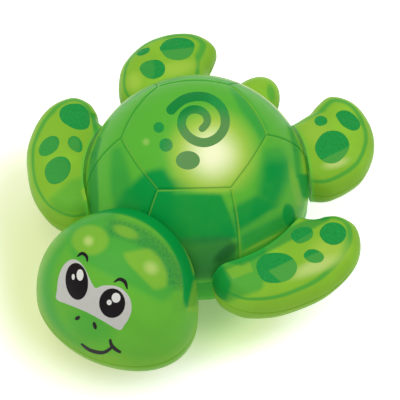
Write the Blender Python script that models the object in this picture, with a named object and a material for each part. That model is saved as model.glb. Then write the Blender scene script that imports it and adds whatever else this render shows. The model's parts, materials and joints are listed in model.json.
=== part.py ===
"""Light-up bath toy turtle: hollow shell, head and flippers on pegs, lamp column and battery box.

The toy frame has its origin under the shell's centre, on the resting plane. The head points to -Y.
Azimuths are measured at the shell's centre from the head, towards +X (the turtle's left).
"""
import math

import bmesh
import bpy
from mathutils import Matrix, Vector

MM = 0.001
GAP = 0.3 * MM

# Shell: a hemisphere over a dish that is cut flat where it rests
SHELL_R = 43.0 * MM
SHELL_WALL = 2.2 * MM
SEAM_Z = 27.0 * MM
BELLY_DEPTH = 31.0 * MM
BELLY_SQUARENESS = 3.0
LIP_HEIGHT = 1.8 * MM
LIP_WALL = 1.2 * MM
LIP_DROP = 2.0 * MM
SHELL_SEGMENTS = 40
ROUND_SEGMENTS = 16
SMALL_SEGMENTS = 12
HOLE_SEGMENTS = 8

# Grooves of the shell's top panel
PANEL_R = 26.9 * MM
GROOVE_R = 0.8 * MM
GROOVE_PROUD = 0.2 * MM
GROOVE_END = 3.0 * MM

# Head: a squarish egg that widens towards the face, its back hollowed to the shell's round
HEAD_STANDOFF = 11.2 * MM
HEAD_DROP = 2.4 * MM
HEAD_LEAN = math.radians(7.4)
HEAD_DEPTH = 28.6 * MM
HEAD_HALF_WIDTH = 30.6 * MM
HEAD_UP = 36.9 * MM
HEAD_DOWN = 15.9 * MM
HEAD_PLAN_SQUARENESS = 1.9
HEAD_SQUARENESS = 2.4
HEAD_TAPER = 0.26
HEAD_WALL = 2.0 * MM
HEAD_PARTING = -0.8 * MM

# Flippers: bean outlines as (azimuth in degrees, steps beyond the shell), heights at both ends of
# the spine that the outline is drawn in towards
OUTLINE_STEP = 1.0 * MM
FLIPPER_WALL = 2.0 * MM
FLIPPER_UP = 11.9 * MM
FLIPPER_DOWN = 11.3 * MM
FLIPPER_TIP_SHARE = 0.74
FLIPPER_SQUARENESS = 2.4
RUNNING_GAP = 1.3 * MM
PARTING_GAP = 0.2 * MM
FRONT_AZIMUTH = 65.0
HIND_AZIMUTH = 133.0
FRONT_OUTLINE = [(37.3, 0.1), (38.4, 6.4), (43.2, 11.6), (49.3, 16.3), (57.5, 20.2), (66.2, 22.8),
                 (75.1, 25.3), (85.1, 26.5), (93.2, 25.5), (100.1, 21.0), (102.3, 14.0), (100.7, 8.5),
                 (96.5, 3.2), (92.0, -9.5), (65.0, -10.5), (40.0, -9.5)]
FRONT_SPINE = [(47.0, 5.5), (65.0, 6.0), (82.0, 7.6), (93.0, 13.0)]
HIND_OUTLINE = [(113.5, 0.0), (113.6, 8.1), (119.1, 17.0), (124.2, 22.3), (131.8, 27.2), (139.3, 29.4),
                (147.3, 29.2), (153.0, 26.8), (157.1, 22.1), (156.7, 15.7), (154.9, 10.0), (154.6, 4.0),
                (153.0, -9.5), (133.0, -12.0), (113.0, -9.5)]
HIND_SPINE = [(129.0, -4.0), (134.4, 9.4), (144.5, 19.0)]

# Tail
TAIL_REACH = 15.3 * MM
TAIL_HALF_WIDTH = 10.0 * MM
TAIL_HALF_HEIGHT = 8.0 * MM
TAIL_RISE = -0.6 * MM
TAIL_WALL = 1.8 * MM

# Flipper pegs and their seal rings, along the peg's axis
PEG_R = 3.0 * MM
PEG_FLANGE_R = 5.0 * MM
PEG_FLANGE = 1.5 * MM
SEAL_THICKNESS = 1.0 * MM

# Neck peg
NECK_TILT = math.radians(12.0)
NECK_R = 4.0 * MM
NECK_FLANGE_R = 6.0 * MM
NECK_FLANGE = 1.6 * MM
NECK_TAIL = 1.4 * MM
NECK_WASHER = 1.5 * MM
NECK_PILOT = 8.0 * MM

# Screws, all of one size: head, shank and length
SCREW_HEAD_R = 2.1 * MM
SCREW_HEAD = 0.9 * MM
SCREW_R = 1.15 * MM
PILOT_R = 1.4 * MM

# Cells and the battery box
CELL_R = 5.25 * MM
CELL_LENGTH = 43.3 * MM
CELL_NUB_R = 1.9 * MM
CELL_NUB = 1.2 * MM
CELL_PLAY = 0.3 * MM
CELL_EDGE = 0.5 * MM
SPRING_LENGTH = 2.8 * MM
SPRING_WIRE_R = 0.3 * MM
SPRING_R = 3.25 * MM
SPRING_TAPER = 0.35
SPRING_TURNS = 3
SPRING_STEPS = 8
CONTACT_THICKNESS = 0.4 * MM
CONTACT_SIZE = 8.4 * MM
BOX_WALL = 1.2 * MM
BOX_LUG_R = 3.8 * MM
BOX_LUG = 2.0 * MM
BATTERY_Y = 3.5 * MM

# Battery door in the flat of the belly
DOOR_FACE = 0.4 * MM
DOOR_PLATE = 1.8 * MM
DOOR_LEDGE = 1.5 * MM
DOOR_CORNER = 3.5 * MM
DOOR_EAR_R = 3.2 * MM
DOOR_EAR_STEP = 0.2 * MM
DOOR_SPIGOT = 2.0 * MM
DOOR_RIB = 1.2 * MM
GASKET_THICKNESS = 0.7 * MM
PAD_THICKNESS = 2.0 * MM
PAD_MARGIN = 9.0 * MM
PAD_WALL = 1.3 * MM
DOOR_BOSS = 5.0 * MM
DOOR_BOSS_WALL = 1.2 * MM

# Light column, board, lamps and diffuser
POD_FOOT_R = 17.0 * MM
POD_FOOT = 1.6 * MM
POD_NECK_R = 9.5 * MM
POD_TOP_R = 12.5 * MM
POD_WALL = 1.4 * MM
POD_SKIRT = 5.0 * MM
POD_FLARE = 4.0 * MM
POD_RIM = 2.0 * MM
POD_SCREW_INSET = 1.5 * MM
LAMP_Z = 41.0 * MM
BOARD_THICKNESS = 1.2 * MM
LED_R = 2.5 * MM
LED_HEIGHT = 5.4 * MM
LED_RING = 5.6 * MM
DIFFUSER_HEIGHT = 12.0 * MM
CHIP_SIZE = 4.0 * MM
CHIP_HEIGHT = 1.0 * MM

# Power button and its switch
BUTTON_Y = -22.0 * MM
BUTTON_R = 4.2 * MM
BUTTON_FACE = 0.5 * MM
BUTTON_TRAVEL = 1.2 * MM
BUTTON_FLANGE_R = 5.2 * MM
BUTTON_FLANGE = 1.0 * MM
BUTTON_STEM_R = 1.5 * MM
BUTTON_STEM = 1.5 * MM
BUTTON_EDGE = 0.6 * MM
SWITCH_SIZE = 6.0 * MM
SWITCH_HEIGHT = 3.4 * MM
SWITCH_TIP_R = 1.7 * MM
SWITCH_TIP = 0.9 * MM
SWITCH_BOARD_Y = 9.0 * MM
SWITCH_POST_R = 1.6 * MM

# Sizes that follow from the ones above
CENTRE = Vector((0, 0, SEAM_Z))
CLEARANCE_R = SHELL_R + RUNNING_GAP
INNER_R = SHELL_R - SHELL_WALL
BOX_X = CELL_LENGTH + CELL_NUB + SPRING_LENGTH + 2 * CONTACT_THICKNESS + 4 * GAP
BOX_Y = 4 * CELL_R + 3 * CELL_PLAY
LEDGE_Z = DOOR_FACE + DOOR_PLATE + GASKET_THICKNESS + 2 * GAP
PAD_Z = LEDGE_Z + PAD_THICKNESS
BOX_Z = PAD_Z + GAP
BOX_TOP = BOX_Z + 2 * CELL_R + 2 * CELL_PLAY + BOX_WALL
CELL_Z = BOX_Z + CELL_PLAY + CELL_R
OPENING_X = BOX_X - 2 * DOOR_LEDGE
OPENING_Y = BOX_Y
DOOR_X = OPENING_X + 2 * DOOR_LEDGE
DOOR_Y = OPENING_Y + 2 * DOOR_LEDGE
EAR_Y = BOX_Y / 2 + BOX_WALL + GAP + PILOT_R + DOOR_BOSS_WALL
EAR_ROOF_Z = DOOR_FACE + DOOR_PLATE + GAP
SWITCH_Z = SHELL_WALL + GAP + BUTTON_FLANGE + BUTTON_STEM + BUTTON_TRAVEL + GAP
SWITCH_POST_X = BUTTON_FLANGE_R + 2 * GAP + SWITCH_POST_R
SWITCH_BOARD_X = 2 * (SWITCH_POST_X + SWITCH_POST_R)
SWITCH_BOARD_Z = SWITCH_Z + SWITCH_TIP + SWITCH_HEIGHT + GAP
POD_SCREW_X = POD_FOOT_R - SCREW_HEAD_R - POD_SCREW_INSET


def clear_scene():
    """Removes what the opening scene holds."""
    for thing in list(bpy.data.objects):
        bpy.data.objects.remove(thing, do_unlink=True)


def material(name, colour, roughness=0.3, metallic=0.0, transmission=0.0):
    """A Principled material of one finish."""
    mat = bpy.data.materials.get(name)
    if mat:
        return mat
    mat = bpy.data.materials.new(name)
    mat.use_nodes = True
    shader = mat.node_tree.nodes["Principled BSDF"]
    shader.inputs["Base Color"].default_value = (*colour, 1.0)
    shader.inputs["Roughness"].default_value = roughness
    shader.inputs["Metallic"].default_value = metallic
    shader.inputs["Transmission Weight"].default_value = transmission
    mat.diffuse_color = (*colour, 1.0)
    return mat


def temporary(bm, name):
    """A scene object made of a bmesh, for the length of a Boolean."""
    mesh = bpy.data.meshes.new(name)
    bm.to_mesh(mesh)
    bm.free()
    thing = bpy.data.objects.new(name, mesh)
    bpy.context.scene.collection.objects.link(thing)
    thing.hide_render = True
    thing.display_type = "WIRE"
    return thing


def boolean(body, tools, operation="DIFFERENCE"):
    """The body with each tool cut from it, or joined to it, in turn."""
    base = temporary(body, "body")
    for tool in tools:
        cutter = temporary(tool, "cutter")
        step = base.modifiers.new("step", "BOOLEAN")
        step.operation = operation
        step.solver = "EXACT"
        step.object = cutter
        graph = bpy.context.evaluated_depsgraph_get()
        result = bpy.data.meshes.new_from_object(base.evaluated_get(graph))
        base.modifiers.clear()
        spent = base.data
        base.data = result
        bpy.data.meshes.remove(spent)
        bpy.data.objects.remove(cutter, do_unlink=True)
    bm = bmesh.new()
    bm.from_mesh(base.data)
    bpy.data.objects.remove(base, do_unlink=True)
    bmesh.ops.remove_doubles(bm, verts=bm.verts, dist=0.002 * MM)
    bmesh.ops.dissolve_degenerate(bm, edges=bm.edges, dist=0.002 * MM)
    return bm


def add_part(name, bm, mat, pivot=None):
    """Makes the node, in its pivot's frame when it moves."""
    if pivot:
        bmesh.ops.transform(bm, matrix=pivot.matrix_basis.inverted(), verts=bm.verts)
    bmesh.ops.recalc_face_normals(bm, faces=bm.faces)
    mesh = bpy.data.meshes.new(name)
    bm.to_mesh(mesh)
    bm.free()
    mesh.shade_smooth()
    mesh.set_sharp_from_angle(angle=math.radians(35))
    mesh.materials.append(mat)
    thing = bpy.data.objects.new(name, mesh)
    bpy.context.scene.collection.objects.link(thing)
    thing.parent = pivot or bpy.data.objects["toy"]
    return thing


def add_empty(name, parent=None, matrix=None):
    """An empty that carries pieces."""
    empty = bpy.data.objects.new(name, None)
    empty.empty_display_size = 5 * MM
    bpy.context.scene.collection.objects.link(empty)
    empty.parent = parent
    if matrix:
        empty.matrix_basis = matrix
    return empty


def lathe(profile, segments, frame=None):
    """A closed profile of (radius, height) turned about Z, then placed by a frame."""
    bm = bmesh.new()
    ring = [bm.verts.new((max(r, 0.0), 0, z)) for r, z in profile]
    edges = [bm.edges.new((ring[i - 1], ring[i])) for i in range(len(ring))]
    bmesh.ops.spin(bm, geom=ring + edges, cent=(0, 0, 0), axis=(0, 0, 1), angle=math.tau,
                   steps=segments, use_merge=True)
    bmesh.ops.remove_doubles(bm, verts=bm.verts, dist=0.001 * MM)
    loose = [e for e in bm.edges if not e.link_faces]
    bmesh.ops.delete(bm, geom=loose, context="EDGES")
    bmesh.ops.recalc_face_normals(bm, faces=bm.faces)
    if frame:
        bmesh.ops.transform(bm, matrix=frame, verts=bm.verts)
    return bm


def cylinder(radius, low, high, segments=24, frame=None):
    """A plain cylinder along Z, placed by a frame."""
    bm = bmesh.new()
    place = Matrix.Translation((0, 0, (low + high) / 2))
    bmesh.ops.create_cone(bm, cap_ends=True, segments=segments, radius1=radius, radius2=radius,
                          depth=high - low, matrix=(frame or Matrix()) @ place)
    return bm


def sphere(radius, centre, across=36, down=18):
    """A ball that hollows or bounds other pieces."""
    bm = bmesh.new()
    bmesh.ops.create_uvsphere(bm, u_segments=across, v_segments=down, radius=radius,
                              matrix=Matrix.Translation(centre))
    return bm


def block(low, high):
    """A box between two corners."""
    bm = bmesh.new()
    low, high = Vector(low), Vector(high)
    size = high - low
    place = Matrix.Translation((low + high) / 2) @ Matrix.Diagonal((size.x, size.y, size.z, 1))
    bmesh.ops.create_cube(bm, size=1.0, matrix=place)
    return bm


def rounded_prism(width, length, corner, low, high, centre=(0, 0), steps=3):
    """An upright prism with rounded corners."""
    bm = bmesh.new()
    points = []
    for quarter, (sx, sy) in enumerate(((1, 1), (-1, 1), (-1, -1), (1, -1))):
        for k in range(steps + 1):
            turn = math.radians(90 * quarter + 90 * k / steps)
            points.append((centre[0] + sx * (width / 2 - corner) + corner * math.cos(turn),
                           centre[1] + sy * (length / 2 - corner) + corner * math.sin(turn), low))
    face = bm.faces.new([bm.verts.new(p) for p in points])
    top = bmesh.ops.extrude_face_region(bm, geom=[face])["geom"]
    raised = [v for v in top if isinstance(v, bmesh.types.BMVert)]
    bmesh.ops.translate(bm, vec=(0, 0, high - low), verts=raised)
    bmesh.ops.recalc_face_normals(bm, faces=bm.faces)
    return bm


def axis_frame(azimuth, tilt=0.0):
    """A frame at the shell's centre whose Z points outwards along an azimuth."""
    out = Vector((math.sin(azimuth) * math.cos(tilt), -math.cos(azimuth) * math.cos(tilt),
                  math.sin(tilt)))
    return Matrix.Translation(CENTRE) @ out.to_track_quat("Z", "Y").to_matrix().to_4x4()


def polar(azimuth_degrees, beyond):
    """A point of the plan, by azimuth and steps beyond the shell."""
    azimuth = math.radians(azimuth_degrees)
    reach = SHELL_R + beyond * OUTLINE_STEP
    return Vector((math.sin(azimuth) * reach, -math.cos(azimuth) * reach))


def smooth_closed(points, steps):
    """A closed curve through the points, with the given steps between each two."""
    out = []
    count = len(points)
    for i in range(count):
        a, b, c, d = (points[(i + k) % count] for k in (-1, 0, 1, 2))
        for k in range(steps):
            t = k / steps
            out.append(0.5 * (2 * b + (c - a) * t + (2 * a - 5 * b + 4 * c - d) * t * t
                              + (3 * b - a - 3 * c + d) * t ** 3))
    return out


def nearest_on_spine(point, spine):
    """The nearest point of a polyline, and its share of the way along it."""
    best = None
    for i in range(len(spine) - 1):
        run = spine[i + 1] - spine[i]
        share = min(max((point - spine[i]).dot(run) / run.length_squared, 0.0), 1.0)
        foot = spine[i] + share * run
        distance = (point - foot).length
        if best is None or distance < best[0]:
            best = (distance, foot, (i + share) / (len(spine) - 1))
    return best


def pillow(outline, spine, height, side, inset=0.0, rings=4, skirt=0.0):
    """Half of a puffed bean: its outline rises in rings that draw in towards the spine."""
    bm = bmesh.new()
    feet = [nearest_on_spine(p, spine) for p in outline]

    def ring(share, lift):
        verts = []
        for p, (distance, foot, along) in zip(outline, feet):
            keep = max(1 - inset / distance, 0.1) if inset else 1.0
            taper = 1 - (1 - FLIPPER_TIP_SHARE) * along ** 2
            flat = foot + (p - foot) * keep * share
            rise = PARTING_GAP / 2 + lift * (height * taper - inset)
            verts.append(bm.verts.new((flat.x, flat.y, SEAM_Z + side * rise)))
        return [bm.edges.new((verts[i - 1], verts[i])) for i in range(len(verts))]

    power = FLIPPER_SQUARENESS
    stages = []
    if skirt:
        stages.append(ring(1.0, -skirt / height))
    for k in range(rings + 1):
        turn = math.radians(84) * k / rings
        share = math.cos(turn) ** (2 / power)
        stages.append(ring(share, math.sin(turn) ** (2 / power)))
    for low, high in zip(stages, stages[1:]):
        bmesh.ops.bridge_loops(bm, edges=low + high)
    for end in (stages[0], stages[-1]):
        bmesh.ops.holes_fill(bm, edges=end, sides=0)
    bmesh.ops.triangulate(bm, faces=[f for f in bm.faces if len(f.verts) > 4])
    bmesh.ops.recalc_face_normals(bm, faces=bm.faces)
    return bm


def egg(shrink=0.0, across=28, down=14):
    """The head's squarish egg, drawn in by a wall when it is the hollow."""
    bm = bmesh.new()
    bmesh.ops.create_uvsphere(bm, u_segments=across, v_segments=down, radius=1.0)
    lean = Matrix.Rotation(-HEAD_LEAN, 4, "X")
    centre = CENTRE - Vector((0, SHELL_R + HEAD_STANDOFF, HEAD_DROP))
    wide = HEAD_HALF_WIDTH - shrink
    deep = HEAD_DEPTH - shrink
    plan, upright = HEAD_PLAN_SQUARENESS, HEAD_SQUARENESS
    for v in bm.verts:
        d = v.co.normalized()
        tall = (HEAD_UP if d.z > 0 else HEAD_DOWN) - shrink
        level = (abs(d.x / wide) ** plan + abs(d.y / deep) ** plan) ** (upright / plan)
        p = d * (level + abs(d.z / tall) ** upright) ** (-1 / upright)
        p.x *= 1 - HEAD_TAPER * p.y / deep
        v.co = centre + lean @ p
    return bm


def tube(points, radius, sides=6, closed=False):
    """A tube of few sides along points, with flat ends unless it closes on itself."""
    bm = bmesh.new()
    count = len(points)
    rings = []
    for i, p in enumerate(points):
        before = points[i - 1] if (closed or i) else p
        after = points[(i + 1) % count] if (closed or i < count - 1) else p
        turn = (after - before).to_track_quat("Z", "Y").to_matrix().to_4x4()
        made = bmesh.ops.create_circle(bm, segments=sides, radius=radius,
                                       matrix=Matrix.Translation(p) @ turn)["verts"]
        rings.append(list({e for v in made for e in v.link_edges}))
    pairs = list(zip(rings, rings[1:] + rings[:1])) if closed else list(zip(rings, rings[1:]))
    for low, high in pairs:
        bmesh.ops.bridge_loops(bm, edges=low + high)
    if not closed:
        for end in (rings[0], rings[-1]):
            bmesh.ops.holes_fill(bm, edges=end, sides=0)
    bmesh.ops.recalc_face_normals(bm, faces=bm.faces)
    return bm


def arc_points(start, end, radius, steps):
    """Points of a great circle of the shell between two directions."""
    return [CENTRE + start.slerp(end, k / steps) * radius for k in range(steps + 1)]


def belly_radius(z, shrink=0.0):
    """The dish's radius at a height, outside or inside its wall."""
    drop = min((SEAM_Z - z) / (BELLY_DEPTH - shrink), 1.0)
    return (SHELL_R - shrink) * (1 - max(drop, 0.0) ** BELLY_SQUARENESS) ** (1 / BELLY_SQUARENESS)


def peg_holes():
    """Cutters for the four flipper pegs."""
    holes = []
    for azimuth in (FRONT_AZIMUTH, HIND_AZIMUTH, -FRONT_AZIMUTH, -HIND_AZIMUTH):
        holes.append(cylinder(PEG_R + GAP, INNER_R * 0.8, SHELL_R * 1.1, SMALL_SEGMENTS,
                              axis_frame(math.radians(azimuth))))
    return holes


def make_dome():
    """The top shell, with its panel grooves and the upper halves of the peg holes."""
    low = SEAM_Z + GAP / 2
    outer_start = math.asin((GAP / 2) / SHELL_R)
    inner_start = math.asin((GAP / 2) / INNER_R)
    profile = []
    for k in range(11):
        turn = outer_start + (math.pi / 2 - outer_start) * k / 10
        profile.append((SHELL_R * math.cos(turn), SEAM_Z + SHELL_R * math.sin(turn)))
    for k in range(6, -1, -1):
        turn = inner_start + (math.pi / 2 - inner_start) * k / 6
        profile.append((INNER_R * math.cos(turn), SEAM_Z + INNER_R * math.sin(turn)))
    profile[0] = (profile[0][0], low)
    profile[-1] = (profile[-1][0], low)
    dome = lathe(profile, SHELL_SEGMENTS)
    corners = []
    rise = math.sqrt(SHELL_R ** 2 - PANEL_R ** 2)
    for k in range(6):
        azimuth = math.tau * k / 6
        corners.append(Vector((math.sin(azimuth) * PANEL_R, -math.cos(azimuth) * PANEL_R,
                               rise)).normalized())
    groove_line = SHELL_R + GROOVE_PROUD
    around = []
    for k in range(6):
        around += arc_points(corners[k], corners[(k + 1) % 6], groove_line, 4)[:-1]
    cutters = [tube(around, GROOVE_R, 4, True)]
    for corner in corners:
        flat = Vector((corner.x, corner.y, 0)).normalized()
        foot = (flat * SHELL_R + Vector((0, 0, GROOVE_END))).normalized()
        start = corner.slerp(foot, 0.01)
        cutters.append(tube(arc_points(start, foot, groove_line, 5), GROOVE_R, 4))
    cutters += peg_holes()
    cutters.append(cylinder(NECK_R + GAP, INNER_R * 0.8, SHELL_R * 1.1, ROUND_SEGMENTS,
                            axis_frame(0.0, NECK_TILT)))
    return boolean(dome, cutters)


def make_belly():
    """The dish, with its lip, battery opening, bosses, switch posts and button hole."""
    top = SEAM_Z - GAP / 2
    outer = [(0.0, 0.0)]
    for k in range(7):
        z = top * (k / 6) ** 1.4
        outer.append((belly_radius(z), z))
    lip_r = INNER_R - GAP
    outer += [(lip_r, top), (lip_r, SEAM_Z + LIP_HEIGHT), (0.0, SEAM_Z + LIP_HEIGHT)]
    body = lathe(outer, SHELL_SEGMENTS)
    inside = [(0.0, SHELL_WALL)]
    lip_low = SEAM_Z - LIP_DROP
    for k in range(5):
        z = SHELL_WALL + (lip_low - SHELL_WALL) * (k / 4) ** 1.3
        inside.append((belly_radius(z, SHELL_WALL), z))
    bore = lip_r - LIP_WALL
    inside += [(bore, lip_low + LIP_WALL), (bore, SEAM_Z + 2 * LIP_HEIGHT),
               (0.0, SEAM_Z + 2 * LIP_HEIGHT)]
    hollow = lathe(inside, SHELL_SEGMENTS)
    keep = [rounded_prism(BOX_X + 2 * PAD_MARGIN, DOOR_Y + 2 * GAP + 2 * PAD_WALL, DOOR_CORNER, 0, PAD_Z,
                          (0, BATTERY_Y), 3)]
    for side in (1, -1):
        ear = Matrix.Translation((0, BATTERY_Y + side * EAR_Y, 0))
        keep.append(cylinder(DOOR_EAR_R + GAP + PAD_WALL, 0, EAR_ROOF_Z + PAD_WALL, ROUND_SEGMENTS, ear))
        keep.append(cylinder(PILOT_R + DOOR_BOSS_WALL, 0, PAD_Z + DOOR_BOSS, SMALL_SEGMENTS, ear))
        keep.append(cylinder(SWITCH_POST_R, 0, SWITCH_BOARD_Z - GAP, HOLE_SEGMENTS,
                             Matrix.Translation((side * SWITCH_POST_X, BUTTON_Y, 0))))
    hollow = boolean(hollow, keep)
    cutters = [hollow,
               rounded_prism(DOOR_X + 2 * GAP, DOOR_Y + 2 * GAP, DOOR_CORNER, -MM, LEDGE_Z, (0, BATTERY_Y)),
               rounded_prism(OPENING_X, OPENING_Y, DOOR_CORNER - DOOR_LEDGE, 0, PAD_Z + MM, (0, BATTERY_Y))]
    for side in (1, -1):
        ear = Matrix.Translation((0, BATTERY_Y + side * EAR_Y, 0))
        cutters.append(cylinder(DOOR_EAR_R + GAP, -MM, EAR_ROOF_Z, ROUND_SEGMENTS, ear))
        cutters.append(cylinder(PILOT_R, 0, PAD_Z + DOOR_BOSS - MM, HOLE_SEGMENTS, ear))
        lug = Matrix.Translation((side * (BOX_X / 2 + BOX_WALL + BOX_LUG_R), BATTERY_Y, 0))
        cutters.append(cylinder(PILOT_R, SHELL_WALL, PAD_Z + MM, HOLE_SEGMENTS, lug))
    cutters.append(cylinder(BUTTON_R + GAP, -MM, SHELL_WALL + MM, ROUND_SEGMENTS,
                            Matrix.Translation((0, BUTTON_Y, 0))))
    cutters += peg_holes()
    return boolean(body, cutters)


def make_head(upper):
    """One half of the head capsule, hollow, with its back hollowed to the shell."""
    reach = 4 * HEAD_DOWN
    parting = SEAM_Z + HEAD_PARTING
    if upper:
        half = block((-reach, -2 * reach, parting + PARTING_GAP / 2), (reach, reach, parting + reach))
    else:
        half = block((-reach, -2 * reach, parting - reach), (reach, reach, parting - PARTING_GAP / 2))
    shell = boolean(egg(), [half], "INTERSECT")
    hollow = boolean(egg(HEAD_WALL, 18, 9), [sphere(CLEARANCE_R + HEAD_WALL, CENTRE, 24, 12)])
    cutters = [sphere(CLEARANCE_R, CENTRE), hollow,
               cylinder(NECK_R + GAP, SHELL_R, CLEARANCE_R + 2 * HEAD_WALL, ROUND_SEGMENTS,
                        axis_frame(0.0, NECK_TILT))]
    return boolean(shell, cutters)


def make_flipper(outline, spine, azimuth, side):
    """One half of a flipper: puffed bean, hollow, root wall hollowed to the shell."""
    edge = smooth_closed([polar(*p) for p in outline], 2)
    line = [polar(*p) for p in spine]
    height = FLIPPER_UP if side > 0 else FLIPPER_DOWN
    body = pillow(edge, line, height, side)
    coarse = smooth_closed([polar(*p) for p in outline], 1)
    hollow = pillow(coarse, line, height, side, FLIPPER_WALL, 2, MM)
    hollow = boolean(hollow, [sphere(CLEARANCE_R + FLIPPER_WALL, CENTRE, 24, 12)])
    cutters = [sphere(CLEARANCE_R, CENTRE), hollow,
               cylinder(PEG_R + GAP, SHELL_R, CLEARANCE_R + 2 * FLIPPER_WALL, SMALL_SEGMENTS,
                        axis_frame(azimuth))]
    return boolean(body, cutters)


def mirrored(bm):
    """The other side's copy of a shape."""
    copy = bm.copy()
    bmesh.ops.scale(copy, vec=(-1, 1, 1), verts=copy.verts)
    bmesh.ops.reverse_faces(copy, faces=copy.faces)
    return copy


def make_flippers(green):
    """Four flippers, each with its two halves, its peg and its seal ring."""
    for name, outline, spine, degrees in (("front", FRONT_OUTLINE, FRONT_SPINE, FRONT_AZIMUTH),
                                          ("hind", HIND_OUTLINE, HIND_SPINE, HIND_AZIMUTH)):
        azimuth = math.radians(degrees)
        halves = {"upper": make_flipper(outline, spine, azimuth, 1),
                  "lower": make_flipper(outline, spine, azimuth, -1)}
        for hand, sign in (("left", 1), ("right", -1)):
            frame = axis_frame(azimuth * sign)
            pivot = add_empty(f"{name}_{hand}_pivot", bpy.data.objects["toy"], frame)
            for half, shape in halves.items():
                own = shape.copy() if sign > 0 else mirrored(shape)
                add_part(f"{name}_{hand}_flipper_{half}", own, green, pivot)
            add_part(f"{name}_{hand}_peg", make_peg(frame),
                     material("peg_green", (0.10, 0.45, 0.16), 0.3), pivot)
            add_part(f"{name}_{hand}_seal", make_seal(frame, PEG_R, PEG_FLANGE_R, flipper_seal_out()),
                     material("seal_rubber", (0.05, 0.05, 0.05), 0.7), pivot)
        for shape in halves.values():
            shape.free()


def flipper_seal_out():
    """How far out a flipper's seal ring reaches, against the lip's curved inside."""
    bore = INNER_R - GAP - LIP_WALL
    return math.sqrt(bore ** 2 - PEG_FLANGE_R ** 2) - GAP


def make_peg(frame):
    """A flipper's peg: a spool whose flanges sit inside the shell and inside the flipper."""
    inner = flipper_seal_out() - SEAL_THICKNESS - GAP
    outer = CLEARANCE_R + FLIPPER_WALL + GAP
    profile = [(0, inner - PEG_FLANGE), (PEG_FLANGE_R, inner - PEG_FLANGE), (PEG_FLANGE_R, inner),
               (PEG_R, inner), (PEG_R, outer), (PEG_FLANGE_R, outer),
               (PEG_FLANGE_R, outer + PEG_FLANGE), (0, outer + PEG_FLANGE)]
    return lathe(profile, SMALL_SEGMENTS, frame)


def make_seal(frame, shank, rim, out):
    """A rubber ring round a peg's shank."""
    low = out - SEAL_THICKNESS
    profile = [(shank + GAP, low), (rim, low), (rim, out), (shank + GAP, out)]
    return lathe(profile, SMALL_SEGMENTS, frame)


def make_screw(length, frame, segments=10):
    """A pan-headed screw along the frame's Z, head at the low end."""
    profile = [(0, -SCREW_HEAD), (SCREW_HEAD_R * 0.8, -SCREW_HEAD), (SCREW_HEAD_R, -SCREW_HEAD * 0.5),
               (SCREW_HEAD_R, 0), (SCREW_R, 0), (SCREW_R, length - SCREW_R), (0, length)]
    return lathe(profile, segments, frame)


def make_neck(rubber, steel):
    """The neck peg, its seal, washer and screw, which all turn with the head."""
    frame = axis_frame(0.0, NECK_TILT)
    pivot = add_empty("neck_pivot", bpy.data.objects["toy"], frame)
    seal_out = math.sqrt(INNER_R ** 2 - NECK_FLANGE_R ** 2) - 2 * GAP
    tail = seal_out - SEAL_THICKNESS - NECK_TAIL
    outer = CLEARANCE_R + HEAD_WALL + 2 * GAP
    peg = [(PILOT_R, tail), (NECK_R, tail), (NECK_R, outer), (NECK_FLANGE_R, outer),
           (NECK_FLANGE_R, outer + NECK_FLANGE), (0, outer + NECK_FLANGE), (0, tail + NECK_PILOT),
           (PILOT_R, tail + NECK_PILOT)]
    add_part("neck_peg", lathe(peg, ROUND_SEGMENTS, frame), material("peg_green", (0.10, 0.45, 0.16), 0.3),
             pivot)
    add_part("neck_seal", make_seal(frame, NECK_R, NECK_FLANGE_R, seal_out), rubber, pivot)
    high = tail - GAP
    washer = [(SCREW_R + GAP, high - NECK_WASHER), (NECK_FLANGE_R, high - NECK_WASHER),
              (NECK_FLANGE_R, high), (SCREW_R + GAP, high)]
    add_part("neck_washer", lathe(washer, ROUND_SEGMENTS, frame), steel, pivot)
    shift = frame @ Matrix.Translation((0, 0, high - NECK_WASHER - GAP))
    add_part("neck_screw", make_screw(NECK_PILOT, shift), steel, pivot)
    return pivot


def make_tail():
    """A small bump behind the shell, hollow and open against the shell."""
    centre = CENTRE + Vector((0, SHELL_R, TAIL_RISE))
    size = Vector((TAIL_HALF_WIDTH, TAIL_REACH, TAIL_HALF_HEIGHT))

    def bump(shrink, across, down):
        bm = bmesh.new()
        matrix = Matrix.Translation(centre) @ Matrix.Diagonal((*(size - Vector((shrink,) * 3)), 1))
        bmesh.ops.create_uvsphere(bm, u_segments=across, v_segments=down, radius=1.0, matrix=matrix)
        return bm

    dish = [(0.0, 0.0)] + [(belly_radius(SEAM_Z * k / 6) + GAP, SEAM_Z * k / 6) for k in range(7)]
    dish.append((0.0, SEAM_Z))
    cutters = [sphere(SHELL_R + GAP, CENTRE), lathe(dish, SHELL_SEGMENTS), bump(TAIL_WALL, 12, 6)]
    return boolean(bump(0, 18, 10), cutters)


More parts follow.
